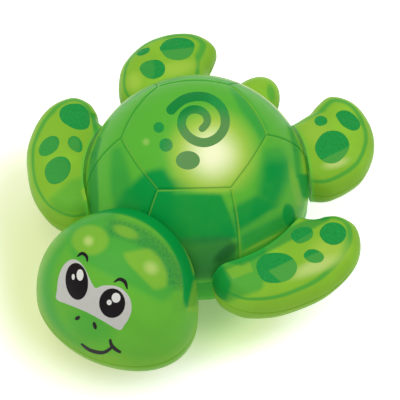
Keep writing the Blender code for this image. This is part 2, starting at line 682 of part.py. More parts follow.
def make_door():
    """The battery door: plate with two screw ears, spigot and stiffening ribs."""
    top = DOOR_FACE + DOOR_PLATE
    centre = (0, BATTERY_Y)
    plate = rounded_prism(DOOR_X, DOOR_Y, DOOR_CORNER, DOOR_FACE, top, centre)
    joined = []
    for side in (1, -1):
        joined.append(cylinder(DOOR_EAR_R, DOOR_FACE + DOOR_EAR_STEP, top - DOOR_EAR_STEP, ROUND_SEGMENTS,
                               Matrix.Translation((0, BATTERY_Y + side * EAR_Y, 0))))
    spigot_x, spigot_y = OPENING_X - 2 * GAP, OPENING_Y - 2 * GAP
    corner = DOOR_CORNER - DOOR_LEDGE
    spigot = rounded_prism(spigot_x, spigot_y, corner, top - GAP, LEDGE_Z + DOOR_SPIGOT, centre)
    pocket = rounded_prism(spigot_x - 2 * DOOR_RIB, spigot_y - 2 * DOOR_RIB, corner / 2, top,
                           LEDGE_Z + 2 * DOOR_SPIGOT, centre)
    span = (spigot_y - DOOR_RIB) / 2
    ribs = [block((x - DOOR_RIB / 2, BATTERY_Y - span, top - 2 * GAP),
                  (x + DOOR_RIB / 2, BATTERY_Y + span, LEDGE_Z + DOOR_SPIGOT / 2))
            for x in (-spigot_x / 4, 0, spigot_x / 4)]
    spigot = boolean(boolean(spigot, [pocket]), ribs, "UNION")
    door = boolean(plate, joined + [spigot], "UNION")
    holes = []
    for side in (1, -1):
        ear = Matrix.Translation((0, BATTERY_Y + side * EAR_Y, 0))
        holes.append(cylinder(SCREW_R + GAP, 0, top + MM, HOLE_SEGMENTS, ear))
        holes.append(cylinder(SCREW_HEAD_R + GAP, 0, DOOR_FACE + SCREW_HEAD, SMALL_SEGMENTS, ear))
    return boolean(door, holes)


def make_battery(rubber, steel, white):
    """Door, gasket and screws, box and screws, cells, contacts and springs."""
    add_part("battery_door", make_door(), material("door_green", (0.16, 0.55, 0.20), 0.35))
    low = DOOR_FACE + DOOR_PLATE + GAP
    ring = rounded_prism(DOOR_X - GAP, DOOR_Y - GAP, DOOR_CORNER, low, low + GASKET_THICKNESS, (0, BATTERY_Y))
    hole = rounded_prism(OPENING_X, OPENING_Y, DOOR_CORNER - DOOR_LEDGE, 0, PAD_Z, (0, BATTERY_Y))
    add_part("door_gasket", boolean(ring, [hole]), rubber)
    for index, side in enumerate((1, -1), start=1):
        seat = DOOR_FACE + SCREW_HEAD - GAP / 2
        add_part(f"door_screw_{index}",
                 make_screw(PAD_Z + DOOR_BOSS - 2 * MM - seat,
                            Matrix.Translation((0, BATTERY_Y + side * EAR_Y, seat))), steel)

    wall_x, wall_y = BOX_X + 2 * BOX_WALL, BOX_Y + 2 * BOX_WALL
    box = rounded_prism(wall_x, wall_y, BOX_WALL, BOX_Z, BOX_TOP, (0, BATTERY_Y), 2)
    lugs = [rounded_prism(BOX_X + 2 * BOX_WALL + 4 * BOX_LUG_R, 2 * BOX_LUG_R, BOX_LUG_R, BOX_Z,
                          BOX_Z + BOX_LUG, (0, BATTERY_Y))]
    box = boolean(box, lugs, "UNION")
    cuts = [block((-BOX_X / 2, BATTERY_Y - BOX_Y / 2, 0),
                  (BOX_X / 2, BATTERY_Y + BOX_Y / 2, BOX_TOP - BOX_WALL))]
    for index, side in enumerate((1, -1), start=1):
        lug = Matrix.Translation((side * (BOX_X / 2 + BOX_WALL + BOX_LUG_R), BATTERY_Y, 0))
        cuts.append(cylinder(SCREW_R + GAP, 0, BOX_TOP, HOLE_SEGMENTS, lug))
        foot = Matrix.Translation((side * POD_SCREW_X, BATTERY_Y, 0))
        cuts.append(cylinder(PILOT_R, BOX_Z, 2 * BOX_TOP, HOLE_SEGMENTS, foot))
        seat = lug @ Matrix.Translation((0, 0, BOX_Z + BOX_LUG + GAP)) @ Matrix.Rotation(math.pi, 4, "X")
        add_part(f"box_screw_{index}", make_screw(BOX_LUG + PAD_Z - SHELL_WALL, seat), steel)
    add_part("battery_box", boolean(box, cuts), white)

    for index, side in enumerate((1, -1), start=1):
        y = BATTERY_Y + side * (CELL_R + CELL_PLAY / 2)
        along = Matrix.Translation((0, y, CELL_Z)) @ Matrix.Rotation(side * math.pi / 2, 4, "Y")
        start = -BOX_X / 2 + CONTACT_THICKNESS + SPRING_LENGTH + 2 * GAP
        end = start + CELL_LENGTH
        tip = end + CELL_NUB
        profile = [(0, start), (CELL_R - CELL_EDGE, start), (CELL_R, start + CELL_EDGE),
                   (CELL_R, end - CELL_EDGE), (CELL_R - CELL_EDGE, end), (CELL_NUB_R, end),
                   (CELL_NUB_R, tip), (0, tip)]
        add_part(f"cell_{index}", lathe(profile, ROUND_SEGMENTS, along),
                 material("cell_jacket", (0.75, 0.76, 0.78), 0.3, 0.6))
        coil = []
        foot = -BOX_X / 2 + CONTACT_THICKNESS + 2 * GAP + SPRING_WIRE_R
        rise = SPRING_LENGTH - 2 * SPRING_WIRE_R - GAP
        for k in range(SPRING_TURNS * SPRING_STEPS + 1):
            share = k / (SPRING_TURNS * SPRING_STEPS)
            turn = math.tau * share * SPRING_TURNS
            wide = SPRING_R * (1 - SPRING_TAPER * share)
            coil.append(along @ Vector((wide * math.cos(turn), wide * math.sin(turn), foot + share * rise)))
        add_part(f"contact_spring_{index}", tube(coil, SPRING_WIRE_R, 4), steel)

    x_low = -BOX_X / 2 + GAP / 2
    half = CONTACT_SIZE / 2
    z_low, z_high = CELL_Z - half, CELL_Z + half
    add_part("contact_link", block((x_low, BATTERY_Y - CELL_R - half, z_low),
                                   (x_low + CONTACT_THICKNESS, BATTERY_Y + CELL_R + half, z_high)), steel)
    for name, side in (("contact_positive", 1), ("contact_negative", -1)):
        y = BATTERY_Y + side * (CELL_R + CELL_PLAY / 2)
        plate = block((-x_low - CONTACT_THICKNESS, y - half, z_low), (-x_low, y + half, z_high))
        add_part(name, plate, steel)


def make_light(white, steel):
    """The lamp column, its board with three lamps and a chip, and the diffuser."""
    low = BOX_TOP + GAP
    shift = Matrix.Translation((0, BATTERY_Y, 0))
    rim_z = LAMP_Z - POD_RIM
    flare_z = rim_z - POD_FLARE
    profile = [(POD_FOOT_R, low), (POD_FOOT_R, low + POD_FOOT), (POD_NECK_R + POD_FOOT, low + POD_FOOT),
               (POD_NECK_R, low + POD_FOOT + POD_SKIRT), (POD_NECK_R, flare_z), (POD_TOP_R, rim_z),
               (POD_TOP_R, LAMP_Z), (POD_TOP_R - POD_WALL, LAMP_Z), (POD_TOP_R - POD_WALL, rim_z),
               (POD_NECK_R - POD_WALL, flare_z), (POD_NECK_R - POD_WALL, low)]
    column = lathe(profile, ROUND_SEGMENTS, shift)
    holes = []
    for index, side in enumerate((1, -1), start=1):
        at = Matrix.Translation((side * POD_SCREW_X, BATTERY_Y, 0))
        holes.append(cylinder(SCREW_R + GAP, 0, low + 2 * POD_FOOT, HOLE_SEGMENTS, at))
        down = at @ Matrix.Translation((0, 0, low + POD_FOOT + GAP)) @ Matrix.Rotation(math.pi, 4, "X")
        add_part(f"pod_screw_{index}", make_screw(POD_FOOT + 2 * GAP + BOX_WALL, down), steel)
    add_part("light_pod", boolean(column, holes), white)

    board = LAMP_Z + GAP
    top = board + BOARD_THICKNESS
    add_part("circuit_board", cylinder(POD_TOP_R, board, top, ROUND_SEGMENTS, shift),
             material("board_green", (0.02, 0.22, 0.10), 0.5))
    for index in range(3):
        turn = math.tau * index / 3 + math.pi / 2
        at = shift @ Matrix.Translation((LED_RING * math.cos(turn), LED_RING * math.sin(turn), top + GAP))
        straight = LED_HEIGHT - LED_R
        profile = [(0, 0), (LED_R * 1.15, 0), (LED_R * 1.15, MM), (LED_R, MM), (LED_R, straight)]
        profile += [(LED_R * math.cos(t), straight + LED_R * math.sin(t)) for t in (0.5, 1.0)]
        profile.append((0, LED_HEIGHT))
        add_part(f"led_{index + 1}", lathe(profile, 10, at), material("led_lens", (0.95, 0.97, 0.90), 0.15))
    half = CHIP_SIZE / 2
    add_part("control_chip", block((-half, BATTERY_Y - half, top + GAP),
                                   (half, BATTERY_Y + half, top + GAP + CHIP_HEIGHT)),
             material("chip_black", (0.02, 0.02, 0.02), 0.4))
    cap = []
    steps = 4
    for k in range(steps + 1):
        turn = math.pi / 2 * k / steps
        cap.append((POD_TOP_R * math.cos(turn), top + GAP + MM + DIFFUSER_HEIGHT * math.sin(turn)))
    inner_r, inner_h = POD_TOP_R - POD_WALL, DIFFUSER_HEIGHT - POD_WALL
    for k in range(steps, -1, -1):
        turn = math.pi / 2 * k / steps
        cap.append((inner_r * math.cos(turn), top + GAP + MM + inner_h * math.sin(turn)))
    cap += [(inner_r, top + GAP), (POD_TOP_R, top + GAP)]
    add_part("diffuser_cap", lathe(cap, ROUND_SEGMENTS, shift),
             material("diffuser_frost", (0.93, 0.95, 0.90), 0.6))


def make_button(toy):
    """The power button, the switch that it presses and the switch's board."""
    pivot = add_empty("button_slide", toy, Matrix.Translation((0, BUTTON_Y, 0)))
    shift = Matrix.Translation((0, BUTTON_Y, 0))
    flange = SHELL_WALL + GAP
    profile = [(0, BUTTON_FACE), (BUTTON_R - BUTTON_EDGE, BUTTON_FACE), (BUTTON_R, BUTTON_FACE + BUTTON_EDGE),
               (BUTTON_R, flange), (BUTTON_FLANGE_R, flange), (BUTTON_FLANGE_R, flange + BUTTON_FLANGE),
               (BUTTON_STEM_R, flange + BUTTON_FLANGE), (BUTTON_STEM_R, flange + BUTTON_FLANGE + BUTTON_STEM),
               (0, flange + BUTTON_FLANGE + BUTTON_STEM)]
    add_part("power_button", lathe(profile, ROUND_SEGMENTS, shift),
             material("button_rubber", (0.85, 0.88, 0.80), 0.6), pivot)
    half = SWITCH_SIZE / 2
    low = SWITCH_Z + SWITCH_TIP
    body = block((-half, BUTTON_Y - half, low), (half, BUTTON_Y + half, low + SWITCH_HEIGHT))
    tip = cylinder(SWITCH_TIP_R, SWITCH_Z, low + SWITCH_HEIGHT / 2, SMALL_SEGMENTS, shift)
    add_part("power_switch", boolean(body, [tip], "UNION"), material("chip_black", (0.02, 0.02, 0.02), 0.4))
    add_part("switch_board",
             block((-SWITCH_BOARD_X / 2, BUTTON_Y - SWITCH_BOARD_Y / 2, SWITCH_BOARD_Z),
                   (SWITCH_BOARD_X / 2, BUTTON_Y + SWITCH_BOARD_Y / 2, SWITCH_BOARD_Z + BOARD_THICKNESS)),
             material("board_green", (0.02, 0.22, 0.10), 0.5))


def make_shells(green, deep):
    """Dome, belly and tail."""
    add_part("shell_dome", make_dome(), green)
    add_part("belly_shell", make_belly(), deep)
    add_part("tail", make_tail(), green)


def centre_on_floor(toy):
    """Moves the toy so that the middle of its box stands on the origin."""
    bpy.context.view_layer.update()
    lows, highs = [], []
    for thing in bpy.data.objects:
        if thing.type == "MESH":
            ys = [(thing.matrix_world @ v.co).y for v in thing.data.vertices]
            lows.append(min(ys))
            highs.append(max(ys))
    toy.location.y = -(min(lows) + max(highs)) / 2
    bpy.context.view_layer.update()


def main():
    clear_scene()
    toy = add_empty("toy")
    green = material("clear_green", (0.10, 0.62, 0.12), 0.12, 0.0, 0.6)
    deep = material("clear_deep_green", (0.04, 0.48, 0.10), 0.12, 0.0, 0.6)
    lime = material("clear_lime", (0.30, 0.75, 0.10), 0.12, 0.0, 0.6)
    rubber = material("seal_rubber", (0.05, 0.05, 0.05), 0.7)
    steel = material("plated_steel", (0.75, 0.75, 0.77), 0.3, 1.0)
    white = material("white_plastic", (0.90, 0.91, 0.88), 0.4)
    make_shells(green, deep)
    neck = make_neck(rubber, steel)
    add_part("head_upper", make_head(True), lime, neck)
    add_part("head_lower", make_head(False), lime, neck)
    make_flippers(lime)
    make_battery(rubber, steel, white)
    make_light(white, steel)
    make_button(toy)
    centre_on_floor(toy)
    print("shell centre at y =", round(toy.location.y / MM, 3), "mm")


main()
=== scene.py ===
"""Light-up bath toy turtle: its visible pieces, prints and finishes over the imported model."""
import json
import math

import bmesh
import bpy
from bpy.props import FloatProperty, FloatVectorProperty, IntProperty, PointerProperty
from mathutils import Matrix, Vector
from mathutils.bvhtree import BVHTree

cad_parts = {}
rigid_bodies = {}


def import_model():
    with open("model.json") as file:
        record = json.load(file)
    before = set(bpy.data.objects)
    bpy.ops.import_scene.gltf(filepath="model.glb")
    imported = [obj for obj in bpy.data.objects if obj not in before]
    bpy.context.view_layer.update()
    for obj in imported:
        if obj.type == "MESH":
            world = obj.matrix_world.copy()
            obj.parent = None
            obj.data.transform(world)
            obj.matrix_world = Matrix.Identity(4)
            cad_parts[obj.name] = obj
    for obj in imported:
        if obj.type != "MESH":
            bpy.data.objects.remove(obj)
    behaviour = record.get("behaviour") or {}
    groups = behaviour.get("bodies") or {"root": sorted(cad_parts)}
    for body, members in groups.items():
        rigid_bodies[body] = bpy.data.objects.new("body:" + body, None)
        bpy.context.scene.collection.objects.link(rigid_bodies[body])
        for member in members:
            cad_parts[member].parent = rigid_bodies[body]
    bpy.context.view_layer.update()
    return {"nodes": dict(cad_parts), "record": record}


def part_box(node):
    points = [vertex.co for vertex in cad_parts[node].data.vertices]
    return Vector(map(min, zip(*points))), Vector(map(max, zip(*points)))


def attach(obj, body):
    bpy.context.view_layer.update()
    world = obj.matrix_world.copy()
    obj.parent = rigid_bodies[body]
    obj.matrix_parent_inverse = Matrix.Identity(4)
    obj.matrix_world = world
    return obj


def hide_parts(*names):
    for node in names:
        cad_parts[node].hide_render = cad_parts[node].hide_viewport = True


bl_info = {
    "name": "Light-up bath turtle",
    "version": (1, 0, 0),
    "blender": (4, 5, 0),
    "location": "3D View > Sidebar > Bath turtle",
    "description": "Builds the pieces of a light-up bath toy turtle",
    "category": "Object",
}

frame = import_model()

MM = 0.001
DOME_LOW, DOME_HIGH = (Vector(corner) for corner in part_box("shell_dome"))
SHELL_R = (DOME_HIGH.x - DOME_LOW.x) / 2
CENTRE = Vector((0, (DOME_LOW.y + DOME_HIGH.y) / 2, DOME_HIGH.z - SHELL_R))

# The photo: the camera's direction, roll and distance, and where the shell's centre lies in the frame
AZIMUTH = math.radians(32.6)
ELEVATION = math.radians(56.3)
ROLL = math.radians(-3.3)
DISTANCE = 714 * MM
FRAME_PX = 400
PX = MM / 2.605
CENTRE_PX = (196.8, 186.7)
LENS_PX = DISTANCE / PX
NEAR, FAR = 700 * MM, 1000.0
BACK = Vector((math.sin(AZIMUTH) * math.cos(ELEVATION), -math.cos(AZIMUTH) * math.cos(ELEVATION),
               math.sin(ELEVATION)))
LEVEL = Vector((math.cos(AZIMUTH), math.sin(AZIMUTH), 0))
RIGHT = LEVEL * math.cos(ROLL) + BACK.cross(LEVEL) * math.sin(ROLL)
UP = BACK.cross(RIGHT)
EYE = CENTRE + BACK * DISTANCE

# Head: a squarish egg that widens towards the face
HEAD_FORWARD, HEAD_MIDDLE, HEAD_DROP = 54.2 * MM, 64.0 * MM, 2.4 * MM
HEAD_LEAN = math.radians(7.4)
HEAD_DEPTH, HEAD_HALF_WIDTH = 28.6 * MM, 30.6 * MM
HEAD_UP, HEAD_DOWN = 36.9 * MM, 15.9 * MM
HEAD_PLAN_SQUARENESS, HEAD_SQUARENESS = 1.9, 2.4
HEAD_TAPER = 0.26
HEAD_PARTING = -0.8 * MM

# Flippers: outlines as (azimuth in degrees, distance beyond the shell in mm) and their spines
FLIPPER_UP, FLIPPER_DOWN = 11.9 * MM, 11.3 * MM
FLIPPER_TIP_SHARE = 0.74
FLIPPER_SQUARENESS = 2.4
FRONT_OUTLINE = [(37.3, 0.1), (38.4, 6.4), (43.2, 11.6), (49.3, 16.3), (57.5, 20.2), (66.2, 22.8),
                 (75.1, 25.3), (85.1, 26.5), (93.2, 25.5), (100.1, 21.0), (102.3, 14.0), (100.7, 8.5),
                 (96.5, 3.2), (92.0, -9.5), (65.0, -10.5), (40.0, -9.5)]
FRONT_SPINE = [(47.0, 5.5), (65.0, 6.0), (82.0, 7.6), (93.0, 13.0)]
HIND_OUTLINE = [(113.5, 0.0), (113.6, 8.1), (119.1, 17.0), (124.2, 22.3), (131.8, 27.2), (139.3, 29.4),
                (147.3, 29.2), (153.0, 26.8), (157.1, 22.1), (156.7, 15.7), (154.9, 10.0), (154.6, 4.0),
                (153.0, -9.5), (133.0, -12.0), (113.0, -9.5)]
HIND_SPINE = [(129.0, -4.0), (134.4, 9.4), (144.5, 19.0)]

# Tail
TAIL_SIZE = Vector((10.0, 15.3, 8.0)) * MM
TAIL_RISE = -0.6 * MM

# Gaps: between the shell and the limbs, and between two halves
RUNNING_GAP = 1.3 * MM
PARTING_GAP = 0.2 * MM
ROOT_R = SHELL_R + RUNNING_GAP
# Width of the painted shade and painted glow round the flippers' roots
ROOT_BAND = 1.6 * MM

# The panel's corners on the dome
PANEL_R = 26.9 * MM

# Where the six grooves reach the seam, in degrees from the head and in height, and where the mesh is cut
GROOVE_FEET = (0, 51, 131, 180, 229, 309)
GROOVE_END = 3 * MM
GROOVE_CUTS = (-1.0, -0.66, -0.33, 0.0, 0.33, 0.66, 1.0)

# Fineness of the meshes
SNAP, WELD = 0.001 * MM, 0.004 * MM
HEAD_FACETS, LINING_FACETS = (144, 144), (64, 48)
HEAD_RIM, HEAD_LINING_RIM = 1.6 * MM, 1.0 * MM
HALVINGS = 26
LAST_RING = math.radians(84)
STROKE_STEP = 0.9

# Noise scales
CLOUD_NOISE, FINE_NOISE = 45.0, 1500.0
UPRIGHT = (0, 0, 1)

# Prints, in photo pixels
SPIRAL = [(168, 113.5), (175, 106), (184, 99.5), (196, 96.5), (208, 97.8), (218.5, 104.5), (224.5, 115),
          (224.5, 127), (218, 137), (207.5, 142.3), (197, 141.5), (187.5, 135.5), (181.7, 125.5),
          (183.5, 115.5), (190.5, 110), (199, 110), (205.5, 114.5), (207.3, 121.5), (203.5, 127.5),
          (199, 130)]
SHELL_DOTS = [(158.8, 127.4, 5.3, 5.3), (166, 145, 6.7, 6.7), (187.9, 160.3, 12, 9.3)]
MASK = [(56.8, 299.5), (57.0, 291), (57.8, 281.5), (60.2, 272), (64.5, 264.5), (70, 260), (76, 259.8),
        (81.6, 263.8), (86.5, 271.5), (90.5, 280.5), (95.3, 288), (102, 285.8), (109.7, 285.4),
        (116.5, 286.3), (122.5, 289.2), (128, 295), (131, 302), (131.3, 311), (128.5, 319), (124, 325.5),
        (119.3, 330.1), (104, 321.5), (87, 312.2), (71, 305.5)]
MASK_HEART = (94.5, 301.0)
SPOTS = {
    "front_left": [
        [(256.5, 268), (257.5, 261.5), (262, 256), (269, 253.3), (278, 252.8), (287, 254.5), (293.5, 259),
         (297, 265.5), (296, 272), (291.5, 278), (284, 281.7), (275, 283), (266, 282), (260, 277)],
        [(290.8, 236), (292.5, 231.5), (298, 228), (306, 226.8), (311.5, 229), (313.2, 233.5), (311, 238.5),
         (305, 242), (299, 243.5), (294, 241)],
        [(319.5, 234), (321.5, 228), (327, 223.5), (334, 222.3), (341, 224.5), (345.5, 229.5), (346, 235.5),
         (343, 241), (337, 244.5), (330, 244.5), (323.5, 241)],
        [(303.8, 256.5), (305.5, 251.8), (310.5, 249.3), (317, 250), (322.5, 253.8), (324, 258), (321, 261.8),
         (315, 263), (308.5, 261.3)]],
    "front_right": [
        [(59.3, 114), (61.5, 108.5), (67, 104.8), (75, 103.5), (82, 104.8), (87, 109.5), (89.5, 116),
         (89.8, 123.5), (87.5, 128), (82, 129.8), (74.5, 128.8), (67, 125), (61.5, 120.5)],
        [(38.9, 152), (39.5, 147), (43, 141), (48.5, 137), (54, 136), (58, 138), (59.3, 143), (57, 149),
         (52, 153.5), (46, 156), (41, 155.5)],
        [(67.8, 142.5), (69, 138.5), (73, 136), (78, 137.5), (81.5, 142), (82.5, 147.5), (81, 151.5),
         (77, 152.3), (72, 149.5), (69, 146.5)],
        [(44.8, 174), (46, 166), (50.5, 160.5), (57, 157), (64, 156.8), (69, 160.5), (70.8, 167), (68.5, 175),
         (63, 181), (56, 184), (49, 182.5)]],
    "hind_left": [
        [(315, 148), (317, 141), (322, 134.5), (329, 131), (337, 131), (344, 134.5), (348.5, 141), (349, 148),
         (345, 155.5), (338.5, 161.5), (331, 163.5), (323.5, 161.5), (317.5, 155.5)],
        [(314.5, 121), (316, 117.5), (320.5, 115.8), (325.5, 117.5), (327.5, 121), (325.5, 124.3),
         (320.5, 125.8), (316, 124.5)],
        [(336, 116), (337.5, 112.5), (343, 110.3), (350, 112), (356, 117), (360, 123), (359, 128.5),
         (353.5, 130.7), (347, 128.5), (341, 124)]],
    "hind_right": [
        [(139.7, 69.5), (142, 64), (148, 60.8), (156, 59.8), (162, 62), (165, 67), (164, 73.5), (159, 77.5),
         (152, 79), (145, 76.5)],
        [(136.5, 54.3), (139, 51), (144, 48.5), (149, 47.8), (149.5, 51), (145.5, 54), (140, 55.8)],
        [(160, 49.5), (161, 45.5), (166, 40.5), (174, 38), (183, 37.8), (190.5, 40), (194.5, 44.5),
         (193.5, 51), (189, 57), (182, 59.8), (174, 59.8), (166, 57)]],
}
# Where the lamp's painted glow is centred
GLOW_PX = (212, 154)

# Tones of the plastic: from the light through one wall to the deep green of several
# The zones below also use the pale tones for painted highlights, reflections and lamplight, and the deep ones
# for painted shade
DEEP = (0.003, 0.30, 0.048)
DUSK = (0.022, 0.20, 0.045)
MIDDLE = (0.04, 0.37, 0.05)
LEAF = (0.10, 0.44, 0.046)
LIME = (0.24, 0.50, 0.04)
YELLOW = (0.40, 0.60, 0.07)
PALE = (0.52, 0.67, 0.19)
# Painted shade in the gaps between the shell and the flippers' roots
FERN, MOSS = (0.02, 0.32, 0.05), (0.025, 0.28, 0.05)
MOTTLE = (0.035, 0.26, 0.05)
# Painted lamplight, and the prints' painted sheen and painted lamplight
LAMPLIGHT = (0.86, 0.88, 0.55)
PRINT_LIGHT, PRINT_LIT = (0.085, 0.39, 0.055), (0.115, 0.30, 0.08)


def shade(colour, share):
    """A colour made darker or lighter."""
    return tuple(min(channel * share, 1.0) for channel in colour)


# Painted zones: a colour or its name, then what bounds it in the photo's pixels and how strong it is.
# Corners go clockwise.

# The dome, all in painted light and shade: highlights and a dark line along its edge, shade on the deep parts
# in front, on the side panels and in the gaps by the flippers, lighter bands, and the lamp's glow
DOME_ZONES = (
    (LIME, ("ramp", "outline", 0.95, 0.98), 0.6),
    (PALE, ("ramp", "outline", 0.98, 0.99), ("side", (310, 130), (80, 130), 30.0),
     ("side", (236, 140), (236, 60), 20.0), 0.8),
    (MIDDLE, ("ramp", "outline", 0.95, 0.962), ("ramp", "outline", 0.982, 0.97),
     ("side", (310, 170), (80, 170), 30.0), 0.8),
    (DEEP, ("patch", [(112, 148), (122, 146), (140, 214), (116, 214), (109, 185)], 10.0), 0.6),
    (MIDDLE, ("patch", [(228, 82), (240, 90), (268, 128), (262, 142), (236, 104)], 8.0), 0.9),
    (MIDDLE, ("patch", [(236, 226), (272, 212), (294, 208), (296, 222), (236, 258)], 8.0), 0.4),
    (MIDDLE, ("patch", [(262, 150), (280, 146), (289, 158), (289, 184), (266, 180)], 11.0), 0.8),
    (DEEP, ("patch", [(263, 160), (289, 160), (285, 195), (274, 209), (256, 197)], 16.0)),
    (DEEP, ("patch", [(258, 194), (278, 205), (262, 218), (236, 232), (232, 208)], 9.0)),
    (LIME, ("patch", [(289, 150), (296, 152), (301, 192), (306, 206), (296, 206), (289, 176)], 5.0), 0.5),
    (DEEP, ("patch", [(240, 236), (286, 213), (290, 225), (243, 250)], 7.0), 0.7),
    (LIME, ("spot", 262, 242.5, 20, 1.4, -27, 1.0), 0.8),
    # Painted shade in the gap by the hind left flipper
    (FERN, ("patch", [(287, 120), (292, 124), (298.5, 151), (293, 151)], 3.0), 0.7),
    (FERN, ("patch", [(293, 149), (298.5, 149), (301, 178), (296, 178)], 3.0), 0.7),
    (LIME, ("patch", [(298, 134), (304, 140), (310, 176), (302, 176), (301, 156)], 3.0)),
    (DEEP, ("patch", [(297, 174), (310, 174), (309, 199), (302, 197)], 4.0), 0.9),
    (LIME, ("patch", [(78, 160), (100, 134), (92, 152), (89, 170), (88, 186), (89, 214), (78, 214)], 3.0)),
    # Painted shade in the gap by the front right flipper
    (MOSS, ("patch", [(98, 136), (102, 138), (97, 158), (91, 158)], 3.0), 0.8),
    (MOSS, ("patch", [(91, 152), (97, 152), (99, 216), (90, 216), (88, 184)], 3.0), 0.8),
    (DEEP, ("patch", [(140, 193), (221, 194), (230, 212), (238, 238), (190, 246), (140, 232)], 6.0)),
    (DEEP, ("patch", [(146, 171), (164, 168), (176, 188), (166, 204), (132, 202), (130, 186)], 9.0)),
    (DEEP, ("spot", 178, 186, 16, 7, 0, 1.0), 0.6),
    (DEEP, ("patch", [(126, 188), (156, 188), (158, 240), (130, 234), (114, 208)], 9.0), 0.9),
    (DUSK, ("patch", [(180, 238), (232, 236), (238, 258), (215, 280), (192, 280)], 8.0), 0.8),
    (shade(DUSK, 0.6), ("spot", 226, 253, 14, 5.5, -38, 0.9), 0.8),
    (DEEP, ("spot", 289, 215, 6, 11, -8, 0.4)),
    # The lamp's painted glow
    (YELLOW, ("ramp", "lamp", 51, 27), "clip"),
    (LAMPLIGHT, ("ramp", "lamp", 35, 3), "clip"),
    # A painted highlight
    (PALE, ("spot", 146, 142, 3, 3, 0, 1.4), 0.4),
)

# The head: painted highlights along its rim, the mottled band, the pale patches as painted reflections with
# painted highlights, painted light on its lower part, and painted shade in the crescent at the shell
HEAD_ZONES = (
    (MIDDLE, ("patch", [(70, 226), (112, 222), (152, 236), (174, 262), (178, 292), (160, 304), (126, 286),
     (70, 258)], 12.0), 0.6),
    (MIDDLE, ("spot", 90, 326, 22, 12, 25, 0.9), 0.45),
    (MIDDLE, ("ring", 118, 288, 62, 75, 10.0), ("side", (125, 180), (100, 290), 10.0), 0.6),
    (MOTTLE, ("ring", 104, 302, 61, 78, 8.0), ("side", (100, 260), (112, 200), 14.0),
     ("side", (190, 290), (150, 286), 12.0), "specks", 0.9),
    (LIME, ("spot", 90, 240, 17, 14, 0, 0.35), 0.75),
    (LIME, ("patch", [(123, 253), (149, 248), (160, 257), (168, 274), (166, 287), (154, 290), (140, 277),
     (126, 262)], 6.0), 0.8),
    (LIME, ("spot", 126, 232, 12, 5, 22, 0.8), 0.7),
    (PALE, ("spot", 88.5, 241, 4, 4, 0, 1.6), 0.8),
    (PALE, ("spot", 151, 268, 6, 5, 35, 1.6), 0.7),
    (LIME, "low", 0.5),
    (DEEP, ("ramp", "edge", 71, 74), ("side", (120, 330), (90, 200), 8.0),
     ("side", (196, 306), (176, 309), 3.0)),
    ("own", ("patch", [(173, 292), (180, 292), (187, 312), (173, 312)], 5.0)),
    (LIME, ("patch", [(193.5, 280), (204, 280), (204, 312), (186.5, 312)], 3.0), 0.6),
    (LIME, ("ring", 105, 290, 84, 86.5, 2.0), ("side", (105, 290), (150, 205), 8.0),
     ("side", (210, 272), (105, 290), 8.0), 0.7),
    (LIME, ("ramp", "edge", 56, 64), ("side", (60, 230), (130, 370), 30.0), 0.5),
)

# The flippers: the contour, painted shade at the root, along an edge and on the deep parts beside the shell,
# painted reflections, and the shines as painted highlights
FLIPPER_ZONES = (
    (MIDDLE, ("ramp", "height", 6.5 * MM, 7.2 * MM), ("ramp", "height", 8.3 * MM, 7.6 * MM), 0.75),
    (LEAF, ("ramp", "reach", ROOT_R, ROOT_R + ROOT_BAND, 0.8, 0.0)),
    (MIDDLE, ("patch", [(206, 268), (232, 256), (264, 246), (270, 262), (262, 290), (222, 304), (206, 290)],
     7.0), "top", 0.75),
    (DEEP, ("patch", [(200, 266), (222, 264), (232, 284), (226, 300), (200, 300)], 6.0), "top", 0.9),
    (LIME, ("patch", [(226, 270), (249, 260), (253, 271), (233, 279)], 2.5), 0.7),
    (DEEP, ("patch", [(225, 262), (240, 250), (300, 222), (330, 213), (330, 220), (242, 266)], 4.0), 0.7),
    (YELLOW, ("spot", 328, 252, 18, 13, -20, 1.2), 0.8),
    (PALE, ("spot", 314, 267, 21, 6, -22, 1.4), 0.9),
    (LEAF, ("patch", [(72, 178), (90, 178), (90, 214), (58, 214), (48, 200)], 9.0), "top", 0.7),
    (LIME, ("patch", [(80, 191), (87, 185), (88, 200), (84, 201)], 2.5)),
    (MIDDLE, ("patch", [(90, 112), (95, 114), (100, 136), (95, 139)], 3.0), 0.9),
    (DEEP, ("spot", 304, 187, 6, 11, -10, 0.6), 0.9),
    (PALE, ("spot", 336, 163, 11, 4.5, -15, 1.4), 0.9),
    (YELLOW, ("spot", 318, 133, 18, 12, 40, 1.4), 0.4),
    (YELLOW, ("spot", 134, 82, 7, 9, 10, 1.4), 0.7),
    (YELLOW, ("spot", 178, 68, 18, 7, -10, 1.2), 0.7),
)

